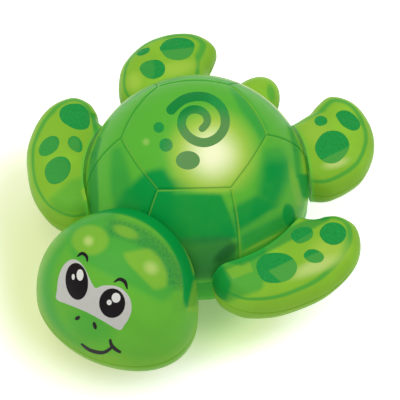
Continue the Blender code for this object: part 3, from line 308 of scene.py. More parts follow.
# The spots' painted sheen, the spiral's dark end and the lamp's painted glow behind it
PRINT_ZONES = (
    (PRINT_LIGHT, ("spot", 277, 268, 26, 20, 0, 0.1), ("side", (240, 284), (300, 256), 1.5),
     ("side", (290, 290), (268, 270.5), 1.5), 0.9),
    (PRINT_LIGHT, ("spot", 332, 147, 22, 20, 0, 0.1), ("side", (322, 159.5), (349, 146.5), 2.0), 0.8),
    (PRINT_LIGHT, ("spot", 177, 49, 22, 14, 0, 0.1), ("side", (160, 51), (195, 47), 2.0), 0.7),
    (PRINT_LIGHT, ("spot", 314, 256, 14, 9, 0, 0.1), ("side", (303, 259), (321, 250.5), 2.0), 0.7),
    (PRINT_LIGHT, ("spot", 302, 235, 15, 11, 0, 0.1), ("side", (293, 243), (313, 231.5), 2.0), 0.5),
    (PRINT_LIGHT, ("spot", 146, 69, 9, 13, 0, 0.4), 0.4),
    (PRINT_LIGHT, ("spot", 56, 170, 14, 14, 0, 0.5), 0.45),
    (PRINT_LIGHT, ("spot", 74, 146, 6, 9, 0, 0.6), 0.6),
    (PRINT_LIGHT, ("spot", 48, 147, 12, 12, 0, 0.5), 0.4),
    (shade(DEEP, 0.75), ("spot", 186, 102, 26, 12, -20, 0.9), 0.8),
    (PRINT_LIT, ("ramp", "lamp", 50, 28)),
)

# The lamp's green glow painted on the floor, and painted green shade between the head and the front left
# flipper
FLOOR_ZONES = (
    ((0.56, 0.58, 0.4), ("spot", 30, 205, 62, 66, 20, 1.2)),
    ((0.62, 0.66, 0.42), ("spot", 252, 322, 56, 26, -28, 1.6)),
    ((0.49, 0.53, 0.29), ("spot", 98, 279, 114, 106, 0, 0.7)),
    ((0.42, 0.58, 0.26), ("spot", 212, 312, 46, 34, -20, 1.6), 0.9),
)

# The face: name, colour, layer, then an oval and its rings, or a stroke's path and half widths
FACE = (
    ("eye_right", "ink", 2, (76.9, 281.4, 11.2, 18.5, -0.1), 8),
    ("eye_left", "ink", 2, (112.2, 303.1, 13.0, 14.7, 0.0), 8),
    ("eye_shine_1", "shine", 3, (80.2, 275.0, 3.4, 5.7), 6),
    ("eye_shine_2", "shine", 3, (73.4, 276.9, 1.5, 2.9), 6),
    ("eye_shine_3", "shine", 3, (116.1, 297.7, 4.4, 4.9), 6),
    ("eye_shine_4", "shine", 3, (109.3, 302.4, 2.5, 2.7), 6),
    ("brow_right", "ink", 2, [(77.2, 256.8), (82.0, 253.4), (86.4, 256.2), (87.4, 261.9)], (0.5, 1.7, 0.5)),
    ("brow_left", "ink", 2, [(113.9, 282.3), (119.5, 279.2), (125, 282.0), (127.3, 289.3)], (0.5, 1.9, 0.5)),
    ("nostril_right", "ink", 2, (77.6, 318.0, 2.8, 1.9, -0.6), 6),
    ("nostril_left", "ink", 2, (94.8, 325.6, 1.8, 3.9, -0.3), 6),
    ("mouth", "ink", 2, [(81, 343.5), (90, 350), (102, 352.6), (109.5, 349.2), (112.6, 345.5)],
     (1.0, 1.8, 1.4)),
    ("cheek_line", "ink", 3, [(110.2, 338.8), (111.2, 344.2), (115.5, 349.2), (121.2, 352.4)],
     (1.2, 1.7, 1.2)),
)

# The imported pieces: slot, name, colour, roughness, metallic share, relief or mottled roughness, glow
PACKED = (
    ("plated_steel", "plated_steel", (0.62, 0.62, 0.64), 0.25, 1.0, ("mottle", 900.0, 0.18, 0.34), None),
    ("seal_rubber", "seal_rubber", (0.02, 0.20, 0.04), 0.7, 0.0, ("grain", 1500.0, 0.03 * MM, 0.5), None),
    ("white_plastic", "white_plastic", (0.78, 0.80, 0.76), 0.45, 0.0,
     ("grain", 1200.0, 0.02 * MM, 0.4), None),
    ("door_green", "door_plastic", shade(DEEP, 1.3), 0.45, 0.0, ("grain", 1600.0, 0.03 * MM, 0.6), None),
    ("cell_jacket", "cell_jacket", (0.55, 0.57, 0.60), 0.3, 0.7, ("mottle", 300.0, 0.25, 0.4), None),
    ("board_green", "board_lacquer", (0.01, 0.10, 0.04), 0.4, 0.0, ("mottle", 800.0, 0.3, 0.5), None),
    ("chip_black", "chip_case", (0.02, 0.02, 0.02), 0.5, 0.0, ("grain", 3000.0, 0.01 * MM, 0.4), None),
    ("led_lens", "lamp_lens", (0.9, 0.95, 0.85), 0.1, 0.0, ("mottle", 600.0, 0.08, 0.16), ("lamp", 4.0)),
    ("diffuser_frost", "diffuser_frost", (0.9, 0.95, 0.85), 0.6, 0.0, ("grain", 1500.0, 0.02 * MM, 0.5),
     ("lamp", 6.0)),
    ("button_rubber", "button_rubber", (0.62, 0.68, 0.55), 0.55, 0.0,
     ("grain", 1300.0, 0.03 * MM, 0.5), None),
    # The pegs' glow is painted light that lightens the gaps at the flippers' roots
    ("peg_green", "peg_plastic", (0.02, 0.24, 0.045), 0.3, 0.0, ("mottle", 700.0, 0.22, 0.4), (LEAF, 0.3)),
)


class TurtleColours(bpy.types.PropertyGroup):
    """Colours of the toy's plastics and prints."""

    shell: FloatVectorProperty(name="Shell", description="Colour of the shell's clear plastic",
                               default=(0.105, 0.46, 0.04), size=3, subtype="COLOR")
    limbs: FloatVectorProperty(name="Flippers", description="Colour of the flippers and the tail",
                               default=(0.24, 0.50, 0.035), size=3, subtype="COLOR")
    head: FloatVectorProperty(name="Head", description="Colour of the head",
                              default=(0.13, 0.45, 0.04), size=3, subtype="COLOR")
    print_green: FloatVectorProperty(name="Print", description="Colour of the spiral and the spots",
                                     default=(0.012, 0.28, 0.048), size=3, subtype="COLOR")
    mask: FloatVectorProperty(name="Mask", description="Colour of the pale mask round the eyes",
                              default=(0.62, 0.62, 0.57), size=3, subtype="COLOR")
    ink: FloatVectorProperty(name="Ink", description="Colour of the eyes and the face's lines",
                             default=(0.013, 0.010, 0.011), size=3, subtype="COLOR")
    glow: FloatVectorProperty(name="Lamp", description="Colour of the lamp's light",
                              default=(1.0, 0.98, 0.55), size=3, subtype="COLOR")


class TurtleSizes(bpy.types.PropertyGroup):
    """Sizes of the toy's mouldings and prints."""

    wall: FloatProperty(name="Wall", description="Thickness of the head and flippers",
                        default=2.0 * MM, unit="LENGTH", precision=4)
    shell_wall: FloatProperty(name="Shell wall", description="Thickness of the shell",
                              default=2.2 * MM, unit="LENGTH", precision=4)
    groove_width: FloatProperty(name="Groove width", description="Width of the shell's grooves",
                                default=1.5 * MM, unit="LENGTH", precision=4)
    groove_depth: FloatProperty(name="Groove depth", description="Depth of the shell's grooves",
                                default=0.45 * MM, unit="LENGTH", precision=4)
    chamfer: FloatProperty(name="Parting chamfer", description="Chamfer along the parting lines",
                           default=0.35 * MM, unit="LENGTH", precision=5)
    print_lift: FloatProperty(name="Print lift", description="How far a print stands proud",
                              default=0.04 * MM, unit="LENGTH", precision=5)
    print_depth: FloatProperty(name="Print depth", description="How far a print sinks in",
                               default=0.06 * MM, unit="LENGTH", precision=5)
    segments: IntProperty(name="Segments", description="Segments round the shell", default=128, min=24)


def colours():
    """The scene's colours."""
    return bpy.context.scene.turtle_colours


def sizes():
    """The scene's sizes."""
    return bpy.context.scene.turtle_sizes


class Wiring:
    """A node tree under way."""

    def __init__(self, tree):
        self.tree = tree

    def node(self, kind, inputs=None, **settings):
        """A new node, with its settings and what feeds it."""
        made = self.tree.nodes.new(kind)
        for key, value in settings.items():
            setattr(made, key, value)
        for key, value in (inputs or {}).items():
            self.feed(made.inputs[key], value)
        return made

    def feed(self, socket, value):
        """Links a socket, or sets its value."""
        if isinstance(value, bpy.types.NodeSocket):
            self.tree.links.new(value, socket)
        else:
            socket.default_value = value

    def most(self, first, second):
        """The larger of two values."""
        return self.node("ShaderNodeMath", {0: first, 1: second}, operation="MAXIMUM").outputs[0]


class Finish(Wiring):
    """A material under way, with short hands for its nodes."""

    def __init__(self, name, colour, **values):
        self.material = bpy.data.materials.new(name)
        self.material.use_nodes = True
        super().__init__(self.material.node_tree)
        self.shader = self.tree.nodes["Principled BSDF"]
        self.shader.inputs["Base Color"].default_value = (*colour, 1.0)
        for socket, value in values.items():
            self.shader.inputs[socket.replace("_", " ")].default_value = value
        self.tone = colour

    def place(self):
        """Where the point is, in metres."""
        return self.node("ShaderNodeTexCoord").outputs["Object"]

    def noise(self, scale, detail=2.0):
        """Soft noise of a given scale."""
        made = self.node("ShaderNodeTexNoise", {"Vector": self.place(), "Scale": scale, "Detail": detail})
        return made.outputs["Fac"]

    def reach(self, point):
        """Distance from a point."""
        made = self.node("ShaderNodeVectorMath", {0: self.place(), 1: point}, operation="DISTANCE")
        return made.outputs["Value"]

    def along(self, way, start=None):
        """Distance in a direction from a point, the shell's centre when none is given."""
        off = self.node("ShaderNodeVectorMath", {0: self.place(), 1: start or CENTRE}, operation="SUBTRACT")
        made = self.node("ShaderNodeVectorMath", {0: off.outputs["Vector"], 1: way}, operation="DOT_PRODUCT")
        return made.outputs["Value"]

    def ramp(self, value, low, high, out_low=0.0, out_high=1.0):
        """A smooth step between two values."""
        made = self.node("ShaderNodeMapRange", {"Value": value, "From Min": low, "From Max": high,
                                                "To Min": out_low, "To Max": out_high},
                         interpolation_type="SMOOTHSTEP")
        return made.outputs["Result"]

    def times(self, *values):
        """The product of values."""
        result = values[0]
        for value in values[1:]:
            result = self.node("ShaderNodeMath", {0: result, 1: value}, operation="MULTIPLY").outputs[0]
        return result

    def plus(self, first, second):
        """The sum of two values."""
        return self.node("ShaderNodeMath", {0: first, 1: second}, operation="ADD").outputs[0]

    def blend(self, factor, first, second):
        """A mix of two colours."""
        made = self.node("ShaderNodeMix", data_type="RGBA")
        self.feed(made.inputs[0], factor)
        for index, colour in ((6, first), (7, second)):
            if not isinstance(colour, bpy.types.NodeSocket):
                colour = (*colour, 1.0)
            self.feed(made.inputs[index], colour)
        return made.outputs[2]

    def wash(self, colour, *factors):
        """Lays one more colour over the tone so far, where all the factors are up."""
        self.tone = self.blend(self.times(*factors), self.tone, colour)
        return self

    def lay(self, rows, **made):
        """Lays washes from a table, in which a text names a colour or a value that is given here."""
        def given(value):
            return made[value] if isinstance(value, str) else value

        def worked(factor):
            if isinstance(factor, tuple):
                kind, *values = factor
                return getattr(self, kind)(*map(given, values))
            return given(factor)

        for colour, *factors in rows:
            self.wash(given(colour), *map(worked, factors))
        return self

    def oval(self, x, y, half_width, half_height, tilt=0.0):
        """How far out a point is from an oval of the photo, 1 at its edge."""
        ahead = photo_ray(x, y)
        turn = math.radians(tilt)
        along = RIGHT * math.cos(turn) - UP * math.sin(turn)
        along = (along - ahead * along.dot(ahead)).normalized()
        axes = Matrix((along, ahead.cross(along), ahead)).transposed()
        made = self.node("ShaderNodeMapping", {
            "Vector": self.place(), "Location": EYE + ahead * NEAR, "Rotation": axes.to_euler(),
            "Scale": (half_width * PX, half_height * PX, FAR)}, vector_type="TEXTURE")
        return self.node("ShaderNodeVectorMath", {0: made.outputs[0]}, operation="LENGTH").outputs["Value"]

    def spot(self, x, y, half_width, half_height, tilt=0.0, soft=0.5):
        """1 within an oval of the photo, with a soft edge."""
        return self.ramp(self.oval(x, y, half_width, half_height, tilt), 1 + soft / 2, 1 - soft / 2)

    def ring(self, x, y, inner, outer, soft=4.0):
        """1 between two circles of the photo."""
        out = self.oval(x, y, 1, 1)
        return self.times(self.ramp(out, inner - soft / 2, inner + soft / 2),
                          self.ramp(out, outer + soft / 2, outer - soft / 2))

    def side(self, first, second, soft=4.0):
        """1 to the right of a way from one point of the photo to another."""
        plane = photo_ray(*first).cross(photo_ray(*second)).normalized()
        return self.ramp(self.along(plane, EYE), -soft / 2 * PX, soft / 2 * PX)

    def patch(self, points, soft=4.0):
        """1 within a patch of the photo, its corners given clockwise."""
        return self.times(*(self.side(a, b, soft) for a, b in zip(points, points[1:] + points[:1])))

    def bump(self, height, distance, strength=1.0):
        """Relief on the shader's normal."""
        made = self.node("ShaderNodeBump", {"Height": height, "Distance": distance, "Strength": strength})
        self.feed(self.shader.inputs["Normal"], made.outputs["Normal"])

    def grain(self, scale, depth, strength):
        """A fine relief of noise."""
        self.bump(self.noise(scale), depth, strength)

    def mottle(self, scale, smooth, rough):
        """Roughness that changes with noise."""
        self.paint("Roughness", self.ramp(self.noise(scale), 0.3, 0.7, smooth, rough))

    def shine(self, colour, strength):
        """Light of the material's own."""
        self.shader.inputs["Emission Color"].default_value = (*colour, 1.0)
        self.shader.inputs["Emission Strength"].default_value = strength

    def paint(self, socket, value):
        """Feeds one of the shader's sockets."""
        self.feed(self.shader.inputs[socket], value)
        return self

    def close(self, glow=0.0):
        """Feeds the washed tone to the colour, and as a painted glow to the light that the plastic lets
        through.
        """
        self.paint("Base Color", self.tone)
        if glow:
            self.paint("Emission Color", self.tone)
            self.paint("Emission Strength", glow)
        return self


def clear_plastic(name, colour, cloud):
    """Glossy tinted plastic, cloudy inside."""
    finish = Finish(name, colour, Roughness=0.35, IOR=1.4, Coat_Weight=0.04, Coat_Roughness=0.2,
                    Specular_IOR_Level=0.05)
    finish.wash(cloud, finish.ramp(finish.noise(CLOUD_NOISE, 3.0), 0.40, 0.70))
    finish.mottle(240.0, 0.30, 0.38)
    finish.bump(finish.noise(160.0, 1.0), 0.05 * MM, 0.3)
    return finish


def link(name, mesh):
    """A new object of a mesh, in the scene."""
    thing = bpy.data.objects.new(name, mesh)
    bpy.context.scene.collection.objects.link(thing)
    return thing


def add_piece(name, bm, body, mat, nodes=(), sharp=40.0):
    """Makes a finished piece that rides on a body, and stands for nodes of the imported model."""
    bmesh.ops.recalc_face_normals(bm, faces=bm.faces)
    mesh = bpy.data.meshes.new(name)
    bm.to_mesh(mesh)
    bm.free()
    mesh.shade_smooth()
    mesh.set_sharp_from_angle(angle=math.radians(sharp))
    mesh.materials.append(mat)
    piece = link(name, mesh)
    if nodes:
        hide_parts(*nodes)
    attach(piece, body)
    return piece


def boolean(body, tool, operation="DIFFERENCE"):
    """The body with the tool cut from it, or kept to it."""
    made = []
    for bm in (body, tool):
        mesh = bpy.data.meshes.new("cut")
        bmesh.ops.recalc_face_normals(bm, faces=bm.faces)
        bm.to_mesh(mesh)
        bm.free()
        made.append(link("cut", mesh))
    step = made[0].modifiers.new("cut", "BOOLEAN")
    step.operation = operation
    step.solver = "EXACT"
    step.object = made[1]
    graph = bpy.context.evaluated_depsgraph_get()
    result = bpy.data.meshes.new_from_object(made[0].evaluated_get(graph))
    bm = bmesh.new()
    bm.from_mesh(result)
    bpy.data.meshes.remove(result)
    for thing in made:
        mesh = thing.data
        bpy.data.objects.remove(thing, do_unlink=True)
        bpy.data.meshes.remove(mesh)
    bmesh.ops.remove_doubles(bm, verts=bm.verts, dist=WELD)
    return bm


def ball(radius, across=128, down=64):
    """A ball about the shell's centre."""
    bm = bmesh.new()
    bmesh.ops.create_uvsphere(bm, u_segments=across, v_segments=down, radius=radius,
                              matrix=Matrix.Translation(CENTRE))
    return bm


def joined(bm, other):
    """Adds another bmesh's geometry, and frees it."""
    mesh = bpy.data.meshes.new("join")
    other.to_mesh(mesh)
    other.free()
    bm.from_mesh(mesh)
    bpy.data.meshes.remove(mesh)
    return bm


def open_rims(bm):
    """The edges round a mesh's holes."""
    return [edge for edge in bm.edges if edge.is_boundary]


def keep_side(bm, height, side=1):
    """Keeps the part of a mesh above or below a height."""
    bmesh.ops.bisect_plane(bm, geom=bm.verts[:] + bm.edges[:] + bm.faces[:], dist=SNAP,
                           plane_co=(0, 0, height), plane_no=(0, 0, side), clear_inner=True)
    return bm


def capsule_half(skin, lining, height, side):
    """A hollow half of a capsule, with a chamfered edge at the parting line."""
    chamfer = sizes().chamfer
    bm = keep_side(skin.copy(), height + side * (PARTING_GAP / 2 + chamfer), side)
    bm.normal_update()
    rim = open_rims(bm)
    inward = {}
    for edge in rim:
        for vert in edge.verts:
            flat = Vector((vert.normal.x, vert.normal.y, 0)).normalized()
            inward[tuple(round(c / MM, 4) for c in vert.co)] = flat
    made = bmesh.ops.extrude_edge_only(bm, edges=rim)["geom"]
    for vert in (item for item in made if isinstance(item, bmesh.types.BMVert)):
        flat = inward[tuple(round(c / MM, 4) for c in vert.co)]
        vert.co -= flat * chamfer + Vector((0, 0, side * chamfer))
    joined(bm, keep_side(lining.copy(), height + side * PARTING_GAP / 2, side))
    bmesh.ops.triangle_fill(bm, edges=open_rims(bm), use_beauty=True, normal=(0, 0, 1))
    return bm


def polar(azimuth_degrees, beyond_mm):
    """A point of the plan, by azimuth from the head and distance beyond the shell."""
    azimuth = math.radians(azimuth_degrees)
    reach = SHELL_R + beyond_mm * MM
    return Vector((math.sin(azimuth) * reach, CENTRE.y - math.cos(azimuth) * reach))


def polar_way(azimuth_degrees):
    """The level direction at an azimuth from the head."""
    azimuth = math.radians(azimuth_degrees)
    return Vector((math.sin(azimuth), -math.cos(azimuth), 0))


def smooth_path(points, steps, closed=False):
    """A curve through the points, with the given steps between each two."""
    out = []
    count = len(points)
    last = count if closed else count - 1
    for i in range(last):
        picks = [(i + k) % count if closed else min(max(i + k, 0), count - 1) for k in (-1, 0, 1, 2)]
        a, b, c, d = (Vector(points[k]) for k in picks)
        for k in range(steps):
            t = k / steps
            out.append(0.5 * (2 * b + (c - a) * t + (2 * a - 5 * b + 4 * c - d) * t * t
                              + (3 * b - a - 3 * c + d) * t ** 3))
    if not closed:
        out.append(Vector(points[-1]))
    return out


def nearest_on_path(point, path):
    """The nearest point of a path, its distance and its share of the way."""
    best = None
    for i in range(len(path) - 1):
        run = path[i + 1] - path[i]
        share = min(max((point - path[i]).dot(run) / run.length_squared, 0.0), 1.0)
        foot = path[i] + share * run
        distance = (point - foot).length
        if best is None or distance < best[0]:
            best = (distance, foot, (i + share) / (len(path) - 1))
    return best


def pillow(outline, spine, inset, steps, rings):
    """A puffed bean: its outline rises and sinks in rings that draw in towards the spine."""
    edge = smooth_path([polar(*p) for p in outline], steps, closed=True)
    path = smooth_path([polar(*p) for p in spine], 6)
    feet = [nearest_on_path(p, path) for p in edge]
    bm = bmesh.new()
    bmesh.ops.create_circle(bm, segments=len(edge), radius=1.0)
    verts = list(bm.verts)
    stages = [LAST_RING * k / rings for k in range(-rings, rings + 1)]

    def settle(ring, turn):
        share = math.cos(turn) ** (2 / FLIPPER_SQUARENESS)
        lift = abs(math.sin(turn)) ** (2 / FLIPPER_SQUARENESS)
        height = FLIPPER_UP if turn > 0 else FLIPPER_DOWN
        for vert, p, (distance, foot, along) in zip(ring, edge, feet):
            keep = max(1 - inset / distance, 0.1)
            taper = 1 - (1 - FLIPPER_TIP_SHARE) * along ** 2
            flat = foot + (p - foot) * keep * share
            rise = math.copysign(lift * (height * taper - inset), turn)
            vert.co = (flat.x, flat.y, CENTRE.z + rise)

    settle(verts, stages[0])
    loop = list(bm.edges)
    bottom = loop
    for turn in stages[1:]:
        spots = {vert.co.copy().freeze(): i for i, vert in enumerate(verts)}
        made = bmesh.ops.extrude_edge_only(bm, edges=loop)["geom"]
        fresh = [item for item in made if isinstance(item, bmesh.types.BMVert)]
        order = [None] * len(verts)
        for vert in fresh:
            order[spots[vert.co.copy().freeze()]] = vert
        verts = order
        loop = [item for item in made if isinstance(item, bmesh.types.BMEdge)]
        settle(verts, turn)
    for end in (bottom, loop):
        cap = bmesh.ops.holes_fill(bm, edges=end, sides=0)["faces"]
        bmesh.ops.triangulate(bm, faces=cap)
    bmesh.ops.recalc_face_normals(bm, faces=bm.faces)
    return bm


def head_skin(shrink, across, down, soften):
    """The head's closed skin: a squarish egg, its back hollowed to the shell with a soft rim."""
    bm = bmesh.new()
    forwards = Matrix.Rotation(math.radians(90), 4, "X")
    bmesh.ops.create_uvsphere(bm, u_segments=across, v_segments=down, radius=1.0, matrix=forwards)
    upright = Matrix.Rotation(HEAD_LEAN, 3, "X")
    heart = CENTRE - Vector((0, HEAD_FORWARD, HEAD_DROP))
    start = CENTRE - Vector((0, HEAD_MIDDLE, HEAD_DROP))
    hollow_r = ROOT_R + shrink
    deep, wide = HEAD_DEPTH - shrink, HEAD_HALF_WIDTH - shrink

    def outside(point):
        """How far a point lies outside the head, less than nothing when it is inside."""
        p = upright @ (point - heart)
        tall = (HEAD_UP if p.z > 0 else HEAD_DOWN) - shrink
        x = abs(p.x / (1 - HEAD_TAPER * p.y / deep) / wide) ** HEAD_PLAN_SQUARENESS
        flat = (x + abs(p.y / deep) ** HEAD_PLAN_SQUARENESS) ** (HEAD_SQUARENESS / HEAD_PLAN_SQUARENESS)
        gauge = (flat + abs(p.z / tall) ** HEAD_SQUARENESS) ** (1 / HEAD_SQUARENESS)
        egg = p.length * (1 - 1 / max(gauge, 0.01))
        hollow = hollow_r - (point - CENTRE).length
        mix = min(max(0.5 + 0.5 * (egg - hollow) / soften, 0.0), 1.0)
        return hollow + (egg - hollow) * mix + soften * mix * (1 - mix)

    for vert in bm.verts:
        way = vert.co.normalized()
        near, far = 0.0, HEAD_DEPTH + HEAD_HALF_WIDTH
        for _ in range(HALVINGS):
            middle = (near + far) / 2
            if outside(start + way * middle) < 0:
                near = middle
            else:
                far = middle
        vert.co = start + way * near
    return bm


def photo_ray(x, y):
    """The direction of the line of sight through a pixel of the photo."""
    return (RIGHT * (x - CENTRE_PX[0]) / LENS_PX - UP * (y - CENTRE_PX[1]) / LENS_PX - BACK).normalized()


def panel_corners():
    """Directions from the shell's centre to the top panel's corners."""
    rise = math.sqrt(SHELL_R ** 2 - PANEL_R ** 2)
    turns = [math.tau * k / 6 for k in range(6)]
    return [Vector((math.sin(t) * PANEL_R, -math.cos(t) * PANEL_R, rise)).normalized() for t in turns]


def surface_of(pieces):
    """A tree of the pieces' faces, to lay prints on."""
    verts, faces = [], []
    for piece in pieces:
        first = len(verts)
        verts += [v.co.copy() for v in piece.data.vertices]
        faces += [[first + i for i in p.vertices] for p in piece.data.polygons]
    return BVHTree.FromPolygons(verts, faces)


def sheet(columns, rows, pixel):
    """A grid over u and v from 0 to 1, laid out in pixels."""
    bm = bmesh.new()
    bmesh.ops.create_grid(bm, x_segments=columns, y_segments=rows, size=0.5)
    for vert in bm.verts:
        x, y = pixel(vert.co.x + 0.5, vert.co.y + 0.5)
        vert.co = (x, y, 0)
    bmesh.ops.remove_doubles(bm, verts=bm.verts, dist=0.001)
    bmesh.ops.dissolve_degenerate(bm, edges=bm.edges, dist=0.001)
    return bm


def disc(outline, heart, rings=6):
    """A flat shape between a closed outline and its heart, in pixels."""
    count = len(outline)

    def pixel(u, v):
        at = outline[round(u * count) % count]
        return heart[0] + (at[0] - heart[0]) * v, heart[1] + (at[1] - heart[1]) * v

    return sheet(count, rings, pixel)


def oval(x, y, half_width, half_height, tilt=0.0, count=40):
    """The outline of an oval, in pixels."""
    points = []
    for k in range(count):
        turn = math.tau * k / count
        c, s = math.cos(turn), math.sin(turn)
        a, b = c * half_width, s * half_height
        points.append((x + a * math.cos(tilt) - b * math.sin(tilt),
                       y + a * math.sin(tilt) + b * math.cos(tilt)))
    return points


def stroke(path, half_start, half_mid, half_end, steps=8, across=4):
    """A brushed line of changing width with round ends, in pixels."""
    points = smooth_path(path, steps)
    lengths = [0.0]
    for a, b in zip(points, points[1:]):
        lengths.append(lengths[-1] + (b - a).length)
    total = lengths[-1]
    count = max(int(total / STROKE_STEP), 12)

    def pixel(u, v):
        run = (1 - math.cos(math.pi * u)) / 2 * total
        i = min(next(k for k, s in enumerate(lengths) if s >= run - 1e-6) or 1, len(points) - 1)
        share = (run - lengths[i - 1]) / max(lengths[i] - lengths[i - 1], 1e-9)
        at = points[i - 1].lerp(points[i], share)
        way = (points[i] - points[i - 1]).normalized()
        ends = half_start + (half_end - half_start) * run / total
        half = ends + (half_mid - ends) * math.sin(math.pi * run / total)
        near = min(run, total - run)
        if near < half:
            half = math.sqrt(max(half ** 2 - (half - near) ** 2, 0.0))
        side = Vector((-way.y, way.x)) * half * (2 * v - 1)
        return at.x + side.x, at.y + side.y

    return sheet(count, across, pixel)


def lay_print(name, bm, tree, body, mat, layer=1):
    """Lays a flat shape along the lines of sight on a surface, and gives it its thickness."""
    lift = sizes().print_lift * layer
    for edge in open_rims(bm):
        edge.smooth = False
    missed = []
    for vert in bm.verts:
        hit, normal, _, _ = tree.ray_cast(EYE, photo_ray(vert.co.x, vert.co.y))
        if hit is None:
            missed.append(vert)
            continue
        vert.co = hit + normal * lift
    bmesh.ops.delete(bm, geom=missed, context="VERTS")
    bmesh.ops.recalc_face_normals(bm, faces=bm.faces)
    if sum(face.normal.dot(BACK) for face in bm.faces) < 0:
        bmesh.ops.reverse_faces(bm, faces=bm.faces)
    mesh = bpy.data.meshes.new(name)
    bm.to_mesh(mesh)
    bm.free()
    mesh.shade_smooth()
    mesh.materials.append(mat)
    piece = link(name, mesh)
    wall = piece.modifiers.new("thickness", "SOLIDIFY")
    wall.thickness = lift + sizes().print_depth
    wall.offset = -1.0
    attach(piece, body)
    return piece


class TURTLE_OT_shell(bpy.types.Operator):
    """Makes the grooved dome"""

    bl_idname = "turtle.shell"
    bl_label = "Shell"

    def plastic(self, tint):
        """The dome's plastic: painted lamplight at the top, painted shade in deep green where the dish shows
        through in front.
        """
        finish = clear_plastic("shell_plastic", tint.shell, shade(tint.shell, 1.1))
        height = finish.along(UPRIGHT)
        # Painted shade: deeper green towards the bottom, which the far side keeps
        finish.wash(DEEP, finish.ramp(height, 26 * MM, 4 * MM, 0.0, 0.45))
        around = finish.tone
        finish.tone = tint.shell
        outline = finish.oval(*CENTRE_PX, 111.6, 111.6)
        lamp = finish.oval(*GLOW_PX, 1, 1)
        clip = finish.times(finish.side((250, 194), (160, 190), 8.0),
                            finish.side((176, 196), (160, 150), 16.0))
        finish.lay(DOME_ZONES, outline=outline, lamp=lamp, clip=clip)
        # The zones' painted light and shade fade out towards the far side
        finish.tone = finish.blend(finish.ramp(finish.along(BACK), -14 * MM, -3 * MM), around, finish.tone)
        finish.wash(shade(tint.shell, 1.15), finish.ramp(finish.noise(CLOUD_NOISE, 3.0), 0.40, 0.70), 0.15)
        # Painted highlight on each groove's lit side and painted shade on its other side
        cut = finish.node("ShaderNodeAttribute", attribute_name="groove_lit_side").outputs["Fac"]
        finish.wash(LIME, finish.ramp(cut, 0.1, 0.7), 0.5)
        finish.wash(shade(DEEP, 0.8), finish.ramp(cut, -0.1, -0.7), 0.5)
        finish.paint("Base Color", finish.tone)
        finish.paint("Emission Color", finish.tone)
        finish.wash(shade(DEEP, 1.1), finish.ramp(height, 4 * MM, 0.0), 0.4)
        # Painted glow: the lamp's light at the top, and a faint glow low down beside the flippers
        light = finish.ramp(finish.times(finish.ramp(lamp, 42, 8), clip), 0, 1, 0.1, 0.22)
        finish.paint("Emission Strength", finish.plus(light, finish.ramp(height, 8 * MM, 1 * MM, 0.0, 0.2)))
        return finish

    def execute(self, context):
        size, tint = sizes(), colours()
        corners = panel_corners()
        arcs = [(corners[k], corners[(k + 1) % 6]) for k in range(6)]
        for corner, azimuth in zip(corners, GROOVE_FEET):
            arcs.append((corner, (polar_way(azimuth) * SHELL_R + Vector((0, 0, GROOVE_END))).normalized()))
        bm = bmesh.new()
        bmesh.ops.create_uvsphere(bm, u_segments=size.segments, v_segments=size.segments * 3 // 4,
                                  radius=SHELL_R)
        low = DOME_LOW.z - CENTRE.z
        keep_side(bm, low)
        half = size.groove_width / 2

        def off_arc(point, arc):
            """How far a point of the ball is from an arc, along the ball."""
            pole = arc[0].cross(arc[1]).normalized()
            d = point.normalized()
            flat = (d - pole * d.dot(pole)).normalized()
            inside = arc[0].cross(flat).dot(pole) > 0 and flat.cross(arc[1]).dot(pole) > 0
            if inside:
                return abs(math.asin(max(-1.0, min(1.0, d.dot(pole))))) * SHELL_R
            return min(d.angle(arc[0]), d.angle(arc[1])) * SHELL_R

        for arc in arcs:
            pole = arc[0].cross(arc[1]).normalized()
            for step in GROOVE_CUTS:
                near = [f for f in bm.faces if off_arc(f.calc_center_median(), arc) < 3 * half]
                geom = set(near)
                for face in near:
                    geom.update(face.verts)
                    geom.update(face.edges)
                bmesh.ops.bisect_plane(bm, geom=list(geom), dist=2 * SNAP, plane_co=pole * half * step,
                                       plane_no=pole)
        # Painted light on the grooves: a value that rises on the side of each groove that faces a light from
        # the lower right, and falls on the other side
        light = (RIGHT - UP).normalized()
        shine = bm.verts.layers.float.new("groove_lit_side")
        for vert in bm.verts:
            if vert.co.z > low + 0.01 * MM:
                arc = min(arcs, key=lambda each: off_arc(vert.co, each))
                away = off_arc(vert.co, arc)
                dip = size.groove_depth * (1 - (away / half) ** 2) ** 2 if away < half else 0.0
                pole = arc[0].cross(arc[1]).normalized()
                lit = math.copysign(1.0, pole.dot(light))
                across = vert.co.normalized().dot(pole) * SHELL_R / half * lit
                vert[shine] = math.sin(math.pi * max(-1.0, min(1.0, across))) if dip else 0.0
                vert.co = vert.co.normalized() * (SHELL_R - dip)
        lining = bmesh.new()
        bmesh.ops.create_uvsphere(lining, u_segments=LINING_FACETS[0], v_segments=LINING_FACETS[1],
                                  radius=SHELL_R - size.shell_wall)
        joined(bm, keep_side(lining, low))
        bmesh.ops.bridge_loops(bm, edges=open_rims(bm))
        bmesh.ops.translate(bm, verts=bm.verts, vec=CENTRE)
        green = self.plastic(tint)
        add_piece("dome", bm, "shell", green.material, ("shell_dome",), 60.0)
        return {"FINISHED"}


